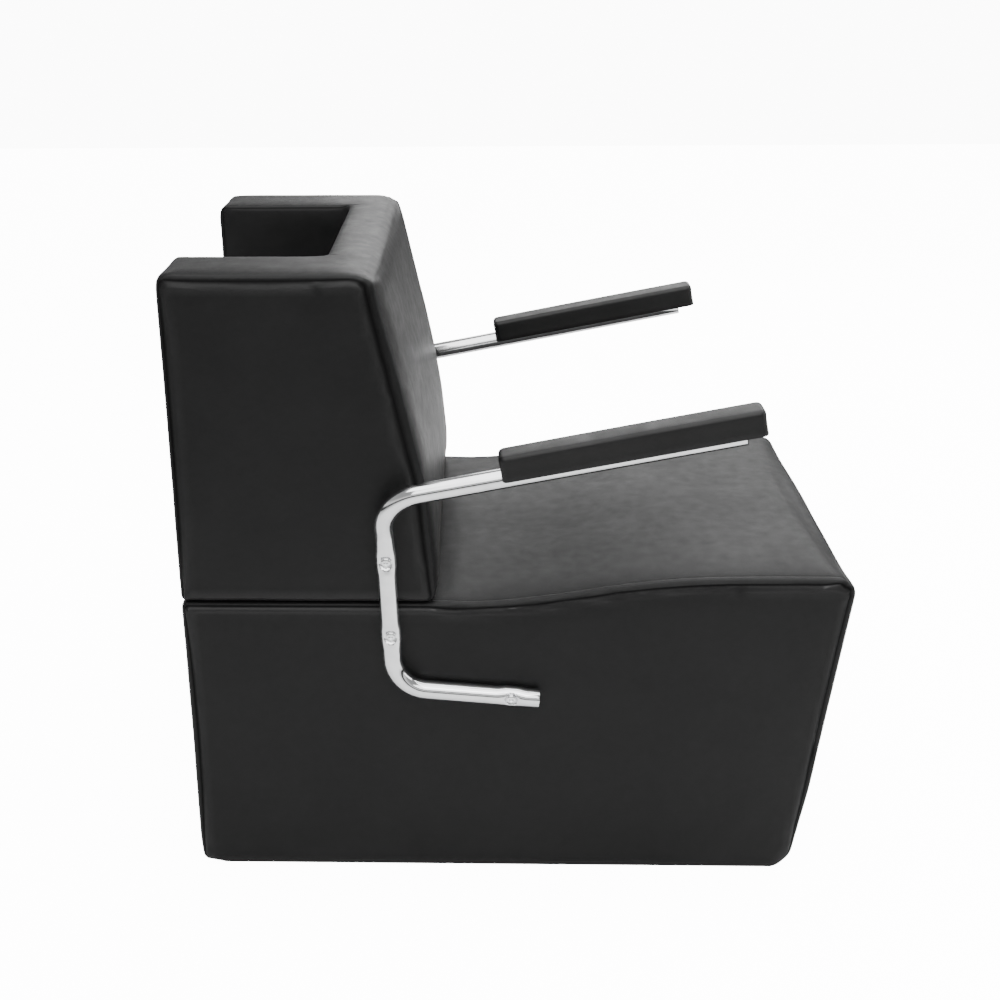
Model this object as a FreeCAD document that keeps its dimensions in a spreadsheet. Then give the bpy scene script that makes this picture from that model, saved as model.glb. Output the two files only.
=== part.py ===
import FreeCAD, Part
import math
import os
import re
import Sketcher

# Box dryer chair for a salon. The row stands on the floor, +Z up, and the sitter faces -Y.
# Right and left are the sitter's own: right is -X and left is +X.

Vector = FreeCAD.Vector
UP = Vector(0, 0, 1)
SIDEWAYS = Vector(1, 0, 0)

# Driving dimensions, in millimetres and degrees.
SIZES = {
    # Overall form
    "body_width": 574,
    "base_depth": 872,
    "overall_height": 840,
    "deck_height": 407,
    "seat_height": 446,
    "glide_height": 3,
    # Base outline, seen from the side
    "front_lean": 6.6,
    "nose_radius": 20,
    "front_foot_radius": 24,
    "rear_foot_radius": 12,
    "deck_edge_radius": 8,
    "side_edge_radius": 9,
    "seat_curve_front": 300,
    "seat_curve_rear": 120,
    # Back unit outline
    "unit_gap": 0.3,
    "back_front": 98,
    "back_foot_lean": 5.5,
    "back_lean": 13.3,
    "back_bend_height": 570,
    "back_bend_radius": 450,
    "back_foot_radius": 25,
    "back_crown_radius": 18,
    "back_rear_radius": 8,
    # Bay between the wings, for the dryer's own body
    "bay_width": 350,
    "bay_depth": 194,
    "bay_corner_radius": 12,
    # Covers and foam
    "cover_thickness": 4,
    "hem_width": 40,
    "soft_gap": 0.3,
    "front_wrap": 25,
    "back_hem_width": 20,
    # Boards and rails of the base
    "side_board": 18,
    "front_board": 18,
    "rear_board": 18,
    "deck_board": 18,
    "seat_board": 15,
    "seat_board_height": 360,
    "seat_board_rear": 80,
    "panel_foot_gap": 24,
    "board_corner_radius": 10,
    "rail_thickness": 18,
    "deck_rail_height": 60,
    "front_rail_width": 25,
    "front_rail_height": 40,
    "brace_height": 60,
    "corner_block_side": 46,
    "corner_block_height": 70,
    # Boards and rails of the back unit
    "wing_board": 12,
    "back_board": 18,
    "wing_rail": 18,
    # Floor glides and dust cover
    "glide_diameter": 24,
    "glide_flat": 16,
    "glide_inset": 32,
    "nail_diameter": 2.5,
    "nail_length": 18,
    "dust_cover_thickness": 1,
    "dust_cover_inset": 15,
    "glide_clearance": 1,
    # Arm tube
    "tube_diameter": 25.4,
    "tube_wall": 1.6,
    "arm_gap": 0.3,
    "arm_spread": 34,
    "arm_front": 272,
    "arm_slope": 11,
    "arm_corner_rear": 169,
    "arm_corner_height": 565.2,
    "arm_bend_radius": 55,
    "crank_height": 507,
    "crank_radius": 60,
    "foot_corner_rear": 158.5,
    "foot_corner_height": 292.5,
    "foot_bend_radius": 48,
    "foot_front": 31.6,
    "foot_slope": 4.7,
    "squash_width": 28.4,
    "squash_thickness": 20,
    "squash_flat": 16,
    "squash_blend": 12,
    # Arm bolts and their tee nuts
    "upper_bolt_height": 475.5,
    "lower_bolt_height": 371,
    "foot_bolt_rear": 5,
    "bolt_diameter": 6.35,
    "bolt_hole_clearance": 0.4,
    "bolt_head_diameter": 12.7,
    "bolt_head_height": 3.2,
    "bolt_head_edge": 1,
    "recess_span": 6.4,
    "recess_width": 1.4,
    "recess_depth": 1.6,
    "nut_flange_diameter": 19,
    "nut_flange_thickness": 1.5,
    "nut_barrel_diameter": 8.7,
    "nut_barrel_length": 9,
    "fastener_clearance": 0.1,
    # Arm pad
    "pad_length": 320,
    "pad_width": 43.4,
    "pad_thickness": 33.3,
    "pad_saddle": 12,
    "pad_overhang": 26,
    "pad_edge_radius": 4,
    "pad_groove_gap": 0.3,
    "pad_core_thickness": 9,
    "pad_core_width": 30,
    "pad_core_inset": 12,
    "pad_core_lift": 3,
    "pad_screw_front": 54,
    "pad_screw_spacing": 180,
    "pad_screw_diameter": 4.8,
    "pad_screw_head": 9,
    "pad_screw_head_height": 2.6,
    "pad_screw_grip": 7,
    "plug_length": 14,
    "plug_flange": 1.2,
    "plug_gap": 0.1,
    # Screws in the decks and bolts under the back unit
    "deck_screw_diameter": 4,
    "deck_screw_head": 8,
    "deck_screw_head_height": 2.4,
    "deck_screw_length": 42,
    "deck_screw_inset": 60,
    "back_bolt_front": 280,
    "back_bolt_rear": 396,
    "washer_diameter": 19,
    "washer_thickness": 1.6,
    # Overrun that carries a cut past the face it opens
    "overrun": 5,
}

# Places worked out from the sizes. Each one may use the places above it.
PLACES = {
    "half_width": "body_width / 2",
    "rear_face": "base_depth / 2",
    "inner_half": "half_width - cover_thickness",
    "inner_rear": "rear_face - cover_thickness",
    "board_foot": "glide_height + cover_thickness",
    "side_inner": "inner_half - side_board",
    "nose_y": "nose_radius - base_depth / 2",
    "nose_z": "seat_height - nose_radius",
    "seat_rise": "seat_height - deck_height",
    "seat_curve_run": "seat_curve_front + seat_curve_rear",
    "seat_curve_radius": "(seat_curve_run ^ 2 + seat_rise ^ 2) / (4 * seat_rise)",
    "seat_curve_angle": "2 * atan(seat_rise / seat_curve_run)",
    "seat_board_under": "seat_board_height - seat_board",
    "deck_under": "deck_height - cover_thickness - deck_board",
    "back_foot": "deck_height + unit_gap",
    "heel_y": "back_front + back_foot_radius",
    "heel_z": "back_foot + back_foot_radius",
    "bend_rise": "(back_bend_height - heel_z) * tan(back_foot_lean)",
    "bend_y": "heel_y - back_foot_radius / cos(back_foot_lean) + bend_rise",
    "bend_tangent": "back_bend_radius * tan((back_lean - back_foot_lean) / 2)",
    "bend_low_y": "bend_y - bend_tangent * sin(back_foot_lean)",
    "bend_low_z": "back_bend_height - bend_tangent * cos(back_foot_lean)",
    "bend_centre_y": "bend_low_y + back_bend_radius * cos(back_foot_lean)",
    "bend_centre_z": "bend_low_z - back_bend_radius * sin(back_foot_lean)",
    "crown_z": "overall_height - back_crown_radius",
    "crown_run": "(crown_z - back_bend_height) * sin(back_lean)",
    "crown_y": "bend_y + (back_crown_radius + crown_run) / cos(back_lean)",
    "bay_half": "bay_width / 2",
    "bay_front": "rear_face - bay_depth",
    "board_front": "bay_front - cover_thickness - back_board",
    "board_rear": "bay_front - cover_thickness",
    "wing_inner": "bay_half + cover_thickness",
    "wing_inner_face": "wing_inner + wing_board",
    "wing_outer_face": "inner_half - wing_board",
    "wing_foot": "back_foot + cover_thickness",
    "wing_top": "overall_height - cover_thickness",
    "tube_radius": "tube_diameter / 2",
    "foot_x": "half_width + arm_gap + tube_radius",
    "arm_x": "half_width + arm_spread",
    "arm_front_z": "arm_corner_height + (arm_corner_rear + arm_front) * tan(arm_slope)",
    "foot_end_z": "foot_corner_height - (foot_corner_rear + foot_front) * tan(foot_slope)",
    "head_seat": "half_width + arm_gap + squash_thickness + fastener_clearance",
    "nut_hole": "nut_barrel_diameter + 2 * fastener_clearance",
    "bolt_hole": "bolt_diameter + bolt_hole_clearance",
    "glide_x": "half_width - glide_inset",
    "glide_rear": "rear_face - glide_inset",
    "wing_middle": "(wing_inner_face + wing_outer_face) / 2",
    "run_lean": "(arm_corner_rear - foot_corner_rear) / (arm_corner_height - foot_corner_height)",
    "upper_bolt_rear": "foot_corner_rear + (upper_bolt_height - foot_corner_height) * run_lean",
    "lower_bolt_rear": "foot_corner_rear + (lower_bolt_height - foot_corner_height) * run_lean",
    "crank_rear": "foot_corner_rear + (crank_height - foot_corner_height) * run_lean",
    "foot_bolt_height": "foot_corner_height - (foot_corner_rear - foot_bolt_rear) * tan(foot_slope)",
    "pad_under": "tube_radius - pad_saddle",
    "pad_core_under": "tube_radius + pad_groove_gap + pad_core_lift",
    "screw_x": "inner_half - side_board / 2",
    "dome_rise": "bolt_head_height - bolt_head_edge",
    "dome_radius": "((bolt_head_diameter / 2) ^ 2 + dome_rise ^ 2) / (2 * dome_rise)",
}

doc = FreeCAD.newDocument("DryerChair")
sheet = doc.addObject("Spreadsheet::Sheet", "Sizes")
for row, (name, number) in enumerate(SIZES.items(), start=1):
    sheet.set(f"A{row}", name.replace("_", " "))
    sheet.set(f"B{row}", str(number))
    sheet.setAlias(f"B{row}", name)
doc.recompute()


def formula(text):
    """Write a sum of size and place names as an expression on the sheet."""
    def one(match):
        word = match.group()
        if word in SIZES:
            return "Sizes." + word
        if word in PLACES:
            return "(" + formula(PLACES[word]) + ")"
        return word
    return re.sub(r"[a-z][a-z_]*", one, text)


def value(text):
    """The number that a sum of names gives, in millimetres or degrees."""
    answer = sheet.evalExpression(formula(text))
    return float(getattr(answer, "Value", answer))


# Shared modelling steps

def origin_plane(body, role):
    return next(one for one in body.Origin.OriginFeatures if one.Role == role)


def arc_between(start, end, radius, hollow):
    """The short arc from start to end, bulging outwards from a loop that runs counter-clockwise."""
    chord = end - start
    reach = math.sqrt(radius ** 2 - (chord.Length / 2) ** 2)
    inward = Vector(-chord.y, chord.x, 0).normalize()
    centre = (start + end) / 2 + inward * (-reach if hollow else reach)
    first, last = (end, start) if hollow else (start, end)
    angles = [math.atan2(point.y - centre.y, point.x - centre.x) for point in (first, last)]
    return Part.ArcOfCircle(Part.Circle(centre, UP, radius), *angles)


def draw(body, plane, corners, arcs=None, lift=None):
    """A closed sketch. Each corner is a pair of sums, and arcs maps an edge to (radius, hollow)."""
    arcs = arcs or {}
    sketch = body.newObject("Sketcher::SketchObject", "Outline")
    sketch.AttachmentSupport = [(origin_plane(body, plane), "")]
    sketch.MapMode = "FlatFace"
    if lift:
        sketch.setExpression("AttachmentOffset.Base.z", formula(lift))
    points = [Vector(value(across), value(along), 0) for across, along in corners]
    ends = []
    for edge, start in enumerate(points):
        end = points[(edge + 1) % len(points)]
        radius, hollow = arcs.get(edge, (None, False))
        curve = arc_between(start, end, value(radius), hollow) if radius else Part.LineSegment(start, end)
        sketch.addGeometry(curve, False)
        ends.append((2, 1) if hollow else (1, 2))
    for edge, (across, along) in enumerate(corners):
        following = (edge + 1) % len(points)
        first, last = ends[edge]
        sketch.addConstraint(Sketcher.Constraint("Coincident", edge, last, following, ends[following][0]))
        place = points[edge]
        for kind, text, number in (("DistanceX", across, place.x), ("DistanceY", along, place.y)):
            index = sketch.addConstraint(Sketcher.Constraint(kind, -1, 1, edge, first, number))
            sketch.setExpression(f"Constraints[{index}]", formula(text))
        if edge in arcs:
            radius = arcs[edge][0]
            index = sketch.addConstraint(Sketcher.Constraint("Radius", edge, value(radius)))
            sketch.setExpression(f"Constraints[{index}]", formula(radius))
    return sketch


def new_body(label):
    body = doc.addObject("PartDesign::Body", "Body")
    body.Label = label
    return body


def pad(body, sketch, length, both_ways=True):
    feature = body.newObject("PartDesign::Pad", "Pad")
    feature.Profile = sketch
    feature.SideType = "Symmetric" if both_ways else "One side"
    feature.setExpression("Length", formula(length))
    doc.recompute()
    return feature


def pocket(body, sketch, length, both_ways=False, reverse=False):
    before = body.Shape.Volume
    feature = body.newObject("PartDesign::Pocket", "Pocket")
    feature.Profile = sketch
    feature.SideType = "Symmetric" if both_ways else "One side"
    feature.Reversed = reverse
    feature.setExpression("Length", formula(length))
    doc.recompute()
    if not body.Shape.Volume < before:
        raise ValueError("a pocket cut nothing in " + body.Label)
    return feature


def round_edges(body, test, radius):
    """Round every edge of the body so far that the test picks."""
    base = body.Tip
    names = [f"Edge{number}" for number, edge in enumerate(base.Shape.Edges, start=1) if test(edge)]
    if not names:
        raise ValueError("no edge to round in " + body.Label)
    feature = body.newObject("PartDesign::Fillet", "Fillet")
    feature.Base = (base, names)
    feature.setExpression("Radius", formula(radius))
    doc.recompute()
    return feature


def rim_of(shape, face_test):
    """A test for the edges on the rim of the faces that face_test picks."""
    chosen = [face.Edges for face in shape.Faces if face_test(face)]

    def test(edge):
        return sum(any(edge.isSame(other) for other in edges) for edges in chosen) == 1
    return test


def across_at(y_text, z_text):
    """A test for an edge that runs along X at one place in the side view."""
    y, z = value(y_text), value(z_text)

    def test(edge):
        box = edge.BoundBox
        flat = box.YLength < TOUCH and box.ZLength < TOUCH
        return flat and abs(box.Center.y - y) < TOUCH and abs(box.Center.z - z) < TOUCH
    return test


TOUCH = value("soft_gap") / 10


def box(label, corner, extent):
    """A rectangular board or rail: its low corner and its extent, as sums."""
    board = doc.addObject("Part::Box", "Board")
    board.Label = label
    for side, text in zip(("Length", "Width", "Height"), extent):
        board.setExpression(side, formula(text))
    for axis, text in zip("xyz", corner):
        board.setExpression("Placement.Base." + axis, formula(text))
    return board


def mirrored(source, label):
    """The left piece of a handed pair, from the right one."""
    twin = doc.addObject("Part::Mirroring", "Mirror")
    twin.Source = source
    twin.Normal = SIDEWAYS
    twin.Label = label
    return twin


def cut(label, base, tool):
    result = doc.addObject("Part::Cut", "Cut")
    result.Base = base
    result.Tool = tool
    result.Label = label
    return result


def solid(label, shape):
    feature = doc.addObject("Part::Feature", "Solid")
    feature.Shape = shape
    feature.Label = label
    return feature


def rod(start, direction, diameter, length):
    return Part.makeCylinder(diameter / 2, length, start, direction)


def flip(shape):
    """The same shape on the other side of the chair."""
    return shape.mirror(Vector(), SIDEWAYS)


# Outlines of the two upholstered units, drawn in the side view and inset by any amount.
# The nose, the seat's S-curve and the back's bend keep their centres, so an inset is a true offset.

def base_outline(inset):
    foot = f"(glide_height + {inset})"
    nose = f"(nose_radius - {inset})"
    middle_y = f"(seat_curve_rear - seat_curve_front) / 2 - {inset} * sin(seat_curve_angle)"
    middle_z = f"deck_height + seat_rise / 2 - {inset} * cos(seat_curve_angle)"
    fall = f"(nose_z - {foot}) * sin(front_lean)"
    corners = [
        (f"nose_y - ({nose} - {fall}) / cos(front_lean)", foot),
        (f"rear_face - {inset}", foot),
        (f"rear_face - {inset}", f"deck_height - {inset}"),
        ("seat_curve_rear", f"deck_height - {inset}"),
        (middle_y, middle_z),
        ("-seat_curve_front", f"seat_height - {inset}"),
        ("nose_y", f"seat_height - {inset}"),
        (f"nose_y - {nose} * cos(front_lean)", f"nose_z - {nose} * sin(front_lean)"),
    ]
    arcs = {
        3: (f"seat_curve_radius + {inset}", True),
        4: (f"seat_curve_radius - {inset}", False),
        6: (nose, False),
    }
    return corners, arcs


def around_bend(radius, lean):
    """The place on the bend of the back's face where the face has a lean."""
    return f"bend_centre_y - {radius} * cos({lean})", f"bend_centre_z + {radius} * sin({lean})"


def back_outline(inset):
    foot = f"back_foot + {inset}"
    crown = f"(back_crown_radius - {inset})"
    bend = f"(back_bend_radius - {inset})"
    heel = f"(back_foot_radius - {inset})"
    corners = [
        ("heel_y", foot),
        (f"rear_face - {inset}", foot),
        (f"rear_face - {inset}", f"overall_height - {inset}"),
        ("crown_y", f"overall_height - {inset}"),
        (f"crown_y - {crown} * cos(back_lean)", f"crown_z + {crown} * sin(back_lean)"),
        around_bend(bend, "back_lean"),
        around_bend(bend, "back_foot_lean"),
        (f"heel_y - {heel} * cos(back_foot_lean)", f"heel_z + {heel} * sin(back_foot_lean)"),
    ]
    arcs = {3: (crown, False), 5: (bend, False), 7: (heel, False)}
    return corners, arcs


def on_sides(shape, half):
    """A test for the flat side faces of a unit."""
    return rim_of(shape, lambda face: abs(abs(face.CenterOfMass.x) - half) < TOUCH)


def rounded_base(label, inset):
    """The base as one rounded block, inset from its cover's outside."""
    body = new_body(label)
    pad(body, draw(body, "YZ_Plane", *base_outline(inset)), f"body_width - 2 * {inset}")
    foot = f"glide_height + {inset}"
    corners = base_outline(inset)[0]
    rear = f"rear_face - {inset}"
    front_foot = across_at(corners[0][0], foot)
    rear_foot = across_at(rear, foot)
    round_edges(body, front_foot, f"front_foot_radius - {inset}")
    round_edges(body, rear_foot, f"rear_foot_radius - {inset}")
    round_edges(body, across_at(rear, f"deck_height - {inset}"), f"deck_edge_radius - {inset}")
    sides = on_sides(body.Tip.Shape, value(f"half_width - {inset}"))
    round_edges(body, sides, f"side_edge_radius - {inset}")
    return body


def bay_sketch(body, inset, lift):
    """The bay seen from above, grown by the inset and open to the rear."""
    half = f"(bay_half + {inset})"
    front = f"(bay_front - {inset})"
    corner = f"(bay_corner_radius + {inset})"
    rear = "rear_face + overrun"
    corners = [
        (f"-{half} + {corner}", front), (f"{half} - {corner}", front), (half, f"{front} + {corner}"),
        (half, rear), (f"-{half}", rear), (f"-{half}", f"{front} + {corner}"),
    ]
    return draw(body, "XY_Plane", corners, {1: (corner, False), 5: (corner, False)}, lift)


def rounded_back(label, inset):
    """The back unit as one rounded block with the bay cut through it from top to bottom."""
    body = new_body(label)
    pad(body, draw(body, "YZ_Plane", *back_outline(inset)), f"body_width - 2 * {inset}")
    rear = f"rear_face - {inset}"
    round_edges(body, across_at(rear, f"overall_height - {inset}"), f"back_rear_radius - {inset}")
    round_edges(body, across_at(rear, f"back_foot + {inset}"), f"deck_edge_radius - {inset}")
    pocket(body, bay_sketch(body, inset, "overall_height + overrun"), "overall_height")
    half, bay, front = value(f"half_width - {inset}"), value(f"bay_half + {inset}"), value("board_front")

    def side_or_bay(face):
        middle = face.CenterOfMass
        inside = face.BoundBox.XMax < bay + TOUCH and face.BoundBox.XMin > -bay - TOUCH
        bay_wall = inside and middle.y > front and face.BoundBox.ZLength > TOUCH
        return bay_wall or abs(abs(middle.x) - half) < TOUCH
    round_edges(body, rim_of(body.Tip.Shape, side_or_bay), f"side_edge_radius - {inset}")
    return body


# Base: cover, boards and rails

def front_at(height, inset):
    """Where the leaning front face stands at a height, inset from the cover's outside."""
    fall = f"(nose_z - ({height})) * sin(front_lean)"
    return f"nose_y - (nose_radius - ({inset}) - {fall}) / cos(front_lean)"


def cross_hole(height, rear, diameter, start, length):
    """A drill along X through the right side."""
    tool = doc.addObject("Part::Cylinder", "Drill")
    tool.setExpression("Radius", formula(f"({diameter}) / 2"))
    tool.setExpression("Height", formula(length))
    tool.Placement = FreeCAD.Placement(Vector(), FreeCAD.Rotation(UP, SIDEWAYS))
    for axis, text in zip("xyz", (f"-({start})", rear, height)):
        tool.setExpression("Placement.Base." + axis, formula(text))
    return tool


def upright_hole(across, rear, foot, diameter, length):
    tool = doc.addObject("Part::Cylinder", "Drill")
    tool.setExpression("Radius", formula(f"({diameter}) / 2"))
    tool.setExpression("Height", formula(length))
    for axis, text in zip("xyz", (across, rear, foot)):
        tool.setExpression("Placement.Base." + axis, formula(text))
    return tool


def together(tools):
    group = doc.addObject("Part::Compound", "Tools")
    group.Links = tools
    return group


def common(label, first, second):
    result = doc.addObject("Part::MultiCommon", "Common")
    result.Shapes = [first, second]
    result.Label = label
    return result


def both_sides(tool):
    return [tool, mirrored(tool, "other_side")]


def base_bolt_holes(diameter, start, length):
    return [cross_hole("lower_bolt_height", "lower_bolt_rear", diameter, start, length),
            cross_hole("foot_bolt_height", "foot_bolt_rear", diameter, start, length)]


def make_base_boards(core, screws):
    """The plywood box: sides, leaning front, rear, the raised rear deck and the seat board."""
    side = new_body("side_blank")
    corners = [
        (front_at("board_foot", "cover_thickness"), "board_foot"), ("inner_rear", "board_foot"),
        ("inner_rear", "deck_under"), ("seat_board_rear", "deck_under"),
        ("seat_board_rear", "seat_board_under"),
        (front_at("seat_board_under", "cover_thickness"), "seat_board_under"),
    ]
    pad(side, draw(side, "YZ_Plane", corners, lift="-inner_half"), "side_board", both_ways=False)
    front_foot = across_at(*corners[0])
    rear_foot = across_at(*corners[1])
    round_edges(side, lambda edge: front_foot(edge) or rear_foot(edge), "board_corner_radius")
    holes = base_bolt_holes("nut_hole", "half_width", "side_board + 2 * overrun")
    blank = common("side_trimmed", side, core)
    right = cut("base_side_panel_right", blank, together(holes + [screws]))
    left = mirrored(right, "base_side_panel_left")

    front = new_body("base_front_panel")
    low, high = "board_foot + panel_foot_gap", "seat_board_under"
    outer, inner = "cover_thickness", "cover_thickness + front_board"
    slab = [(front_at(low, outer), low), (front_at(low, inner), low),
            (front_at(high, inner), high), (front_at(high, outer), high)]
    pad(front, draw(front, "YZ_Plane", slab), "2 * side_inner")

    rear = box("base_rear_panel", ("-side_inner", "inner_rear - rear_board", low),
               ("2 * side_inner", "rear_board", f"deck_under - ({low})"))
    deck = common("deck_trimmed", core, box(
        "deck_blank", ("-inner_half", "seat_board_rear", "deck_under"),
        ("2 * inner_half", "inner_rear - seat_board_rear", "deck_board")))
    through = "deck_board + 2 * overrun"
    bolts = [upright_hole("wing_middle", place, "deck_under - overrun", "bolt_hole", through)
             for place in ("back_bolt_front", "back_bolt_rear")]
    drills = [one for bolt in bolts for one in both_sides(bolt)]
    rear_deck = cut("rear_deck", deck, together(drills + [screws]))
    seat = common("seat_board_trimmed", core, box(
        "seat_board_blank", ("-inner_half", "-rear_face", "seat_board_under"),
        ("2 * inner_half", "rear_face + seat_board_rear", "seat_board")))
    return [right, left, front, rear, rear_deck, cut("seat_board", seat, screws)]


def make_base_rails():
    """What stiffens the box inside: a rail and cleat where the decks step, a front rail and a brace."""
    width = "2 * side_inner"
    deck_rail = box("deck_rail", ("-side_inner", "seat_board_rear", "deck_under - deck_rail_height"),
                    (width, "rail_thickness", "deck_rail_height"))
    cleat = box("seat_board_cleat", ("-side_inner", "seat_board_rear - rail_thickness",
                                     "seat_board_under - rail_thickness"),
                (width, "rail_thickness", "rail_thickness"))
    rail_rear = front_at("seat_board_under - front_rail_height", "cover_thickness + front_board")
    front_rail = box("front_rail", ("-side_inner", rail_rear, "seat_board_under - front_rail_height"),
                     (width, "front_rail_width", "front_rail_height"))
    brace_front = f"{rail_rear} + front_rail_width"
    brace = box("seat_brace", ("-rail_thickness / 2", brace_front, "seat_board_under - brace_height"),
                ("rail_thickness", f"seat_board_rear - rail_thickness - ({brace_front})", "brace_height"))
    return [deck_rail, cleat, front_rail, brace]


def make_base_cover(core):
    """One skin of vinyl on thin padding, turned under the boards by a hem."""
    shell = cut("base_shell", rounded_base("base_block", "0"), core)
    opening = box("hem_opening",
                  ("hem_width - half_width", "front_foot + hem_width", "glide_height - overrun"),
                  ("body_width - 2 * hem_width", "rear_face - front_foot - 2 * hem_width",
                   "cover_thickness + overrun + soft_gap"))
    through = "cover_thickness + 2 * overrun"
    holes = base_bolt_holes("bolt_hole", "half_width + overrun", through)
    nails = [upright_hole("glide_x", place, "glide_height - overrun", "nail_diameter", through)
             for place in ("glide_rear", "glide_front")]
    under = "deck_height - cover_thickness - overrun"
    bolts = [upright_hole("wing_middle", place, under, "bolt_hole", through)
             for place in ("back_bolt_front", "back_bolt_rear")]
    tools = [one for tool in holes + nails + bolts for one in both_sides(tool)]
    return cut("base_cover", shell, together([opening] + tools))


def make_corner_blocks(glides):
    """A block in each lower corner, which takes the nail of a glide."""
    side, tall = "corner_block_side", "corner_block_height"
    rear = box("rear_block", ("side_inner - corner_block_side", "inner_rear - rear_board - corner_block_side",
                              "board_foot"), (side, side, tall))
    front = new_body("front_block")
    low, high = "board_foot", "board_foot + corner_block_height"
    skin = "cover_thickness + front_board"
    reach = f"{front_at(low, skin)} + {side}"
    corners = [(front_at(low, skin), low), (reach, low), (reach, high), (front_at(high, skin), high)]
    pad(front, draw(front, "YZ_Plane", corners, lift="side_inner - corner_block_side"), side, both_ways=False)
    doc.recompute()
    blocks = Part.makeCompound([rear.Shape, front.Shape])
    return both(blocks).cut(glides.Shape)


def make_seat_foam(soft_core):
    """Foam on the seat board, cut to the seat's S-curve and rounded nose."""
    block = box("seat_foam_blank", ("-half_width", "-rear_face", "seat_board_height"),
                ("body_width", "rear_face + seat_board_rear - soft_gap", "seat_height - seat_board_height"))
    return common("seat_foam", soft_core, block)


# Back unit: boards, rails, foam and cover

def slope_at(height, lean, inset):
    """Where one slope of the back's face stands at a height, inset from the cover's outside."""
    return f"bend_y + ({height} - back_bend_height) * tan({lean}) + ({inset}) / cos({lean})"


def make_wing(core):
    """The right wing: an outer board that follows the back's face, an inner board and three rails."""
    outer = new_body("wing_outer_blank")
    inset = "(cover_thickness + front_wrap)"
    bend = f"(back_bend_radius - {inset})"
    corners = [
        (slope_at("wing_foot", "back_foot_lean", inset), "wing_foot"),
        ("inner_rear", "wing_foot"), ("inner_rear", "wing_top"),
        (slope_at("wing_top", "back_lean", inset), "wing_top"),
        around_bend(bend, "back_lean"), around_bend(bend, "back_foot_lean"),
    ]
    sketch = draw(outer, "YZ_Plane", corners, {4: (bend, False)}, "-inner_half")
    pad(outer, sketch, "wing_board", both_ways=False)
    hole = cross_hole("upper_bolt_height", "upper_bolt_rear", "nut_hole",
                      "half_width", "wing_board + 2 * overrun")
    outer_panel = cut("wing_outer_panel_right", common("wing_outer_trimmed", outer, core), hole)

    length = "inner_rear - board_rear"
    tall = "wing_top - wing_foot"
    span = "wing_outer_face - wing_inner_face"
    inner_panel = common("wing_inner_panel_right", core, box(
        "wing_inner_blank", ("-wing_inner_face", "board_rear", "wing_foot"), ("wing_board", length, tall)))
    top = common("wing_top_rail_right", core, box(
        "top_rail_blank", ("-wing_outer_face", "board_rear", "wing_top - wing_rail"),
        (span, length, "wing_rail")))
    foot_blank = common("foot_rail_trimmed", core, box(
        "foot_rail_blank", ("-wing_outer_face", "board_rear", "wing_foot"), (span, length, "wing_rail")))
    drills = [upright_hole("-wing_middle", place, "wing_foot - overrun", "nut_hole",
                           "wing_rail + 2 * overrun") for place in ("back_bolt_front", "back_bolt_rear")]
    foot = cut("wing_foot_rail_right", foot_blank, together(drills))
    rear = box("wing_rear_rail_right",
               ("-wing_outer_face", "inner_rear - wing_rail", "wing_foot + wing_rail"),
               (span, "wing_rail", f"{tall} - 2 * wing_rail"))
    return [outer_panel, inner_panel, top, foot, rear]


def make_back_cover(core):
    """The vinyl of the back unit: face, crown, wings and the walls of the bay, turned under below."""
    shell = cut("back_shell", rounded_back("back_block", "0"), core)
    low = "back_foot - overrun"
    tall = "cover_thickness + overrun + soft_gap"
    face_rear = "heel_y + back_hem_width"
    front = box("face_opening", ("back_hem_width - half_width", face_rear, low),
                ("body_width - 2 * back_hem_width", f"bay_front - back_hem_width - ({face_rear})", tall))
    wing = box("wing_opening", ("bay_half + back_hem_width", "bay_front - back_hem_width - overrun", low),
               ("half_width - bay_half - 2 * back_hem_width",
                "rear_face - bay_front + overrun", tall))
    hole = cross_hole("upper_bolt_height", "upper_bolt_rear", "bolt_hole", "half_width + overrun",
                      "cover_thickness + 2 * overrun")
    return cut("back_cover", shell, together([front] + both_sides(wing) + both_sides(hole)))


def make_back_foam(soft_core, panels):
    """The lumbar wedge in front of the bay board, wrapped round the front of both wing boards."""
    block = box("back_foam_blank", ("-half_width", "0", "back_foot"),
                ("body_width", "board_front", "overall_height - back_foot"))
    relief = cross_hole("upper_bolt_height", "upper_bolt_rear", "nut_flange_diameter + 2 * soft_gap",
                        "inner_half", "wing_board + nut_flange_thickness + soft_gap")
    wedge = common("back_foam_wedge", soft_core, block)
    return cut("back_foam", wedge, together(panels + both_sides(relief)))


# Arm tube: round tube bent in a C, squashed flat where a bolt passes through it

HALF_OVAL_STEPS = 6
BLEND_SHARES = (0, 0.5, 1)
OUTWARD = -SIDEWAYS


def tube_section(centre, along, squash_share, inset):
    """The tube's outline at one place: a circle, or the same perimeter squashed to a flat oval."""
    full, flat = value("tube_radius"), value("squash_thickness") / 2
    radius = full + (flat - full) * squash_share - inset
    if not squash_share:
        circle = Part.Circle(centre, along, radius)
        circle.XAxis = OUTWARD
        return Part.Wire(circle.toShape())
    middle = centre - OUTWARD * (full - flat) * squash_share
    straight = (value("squash_width") / 2 - flat) * squash_share
    broad = along.cross(OUTWARD)
    points = []
    for side in (1, -1):
        points.append(middle + OUTWARD * radius * side)
        for step in range(HALF_OVAL_STEPS + 1):
            angle = math.pi * step / HALF_OVAL_STEPS
            reach = OUTWARD * radius * math.cos(angle) + broad * (radius * math.sin(angle) + straight)
            points.append(middle + reach * side)
    curve = Part.BSplineCurve()
    curve.interpolate(points, PeriodicFlag=True)
    return Part.Wire(curve.toShape())


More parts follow.
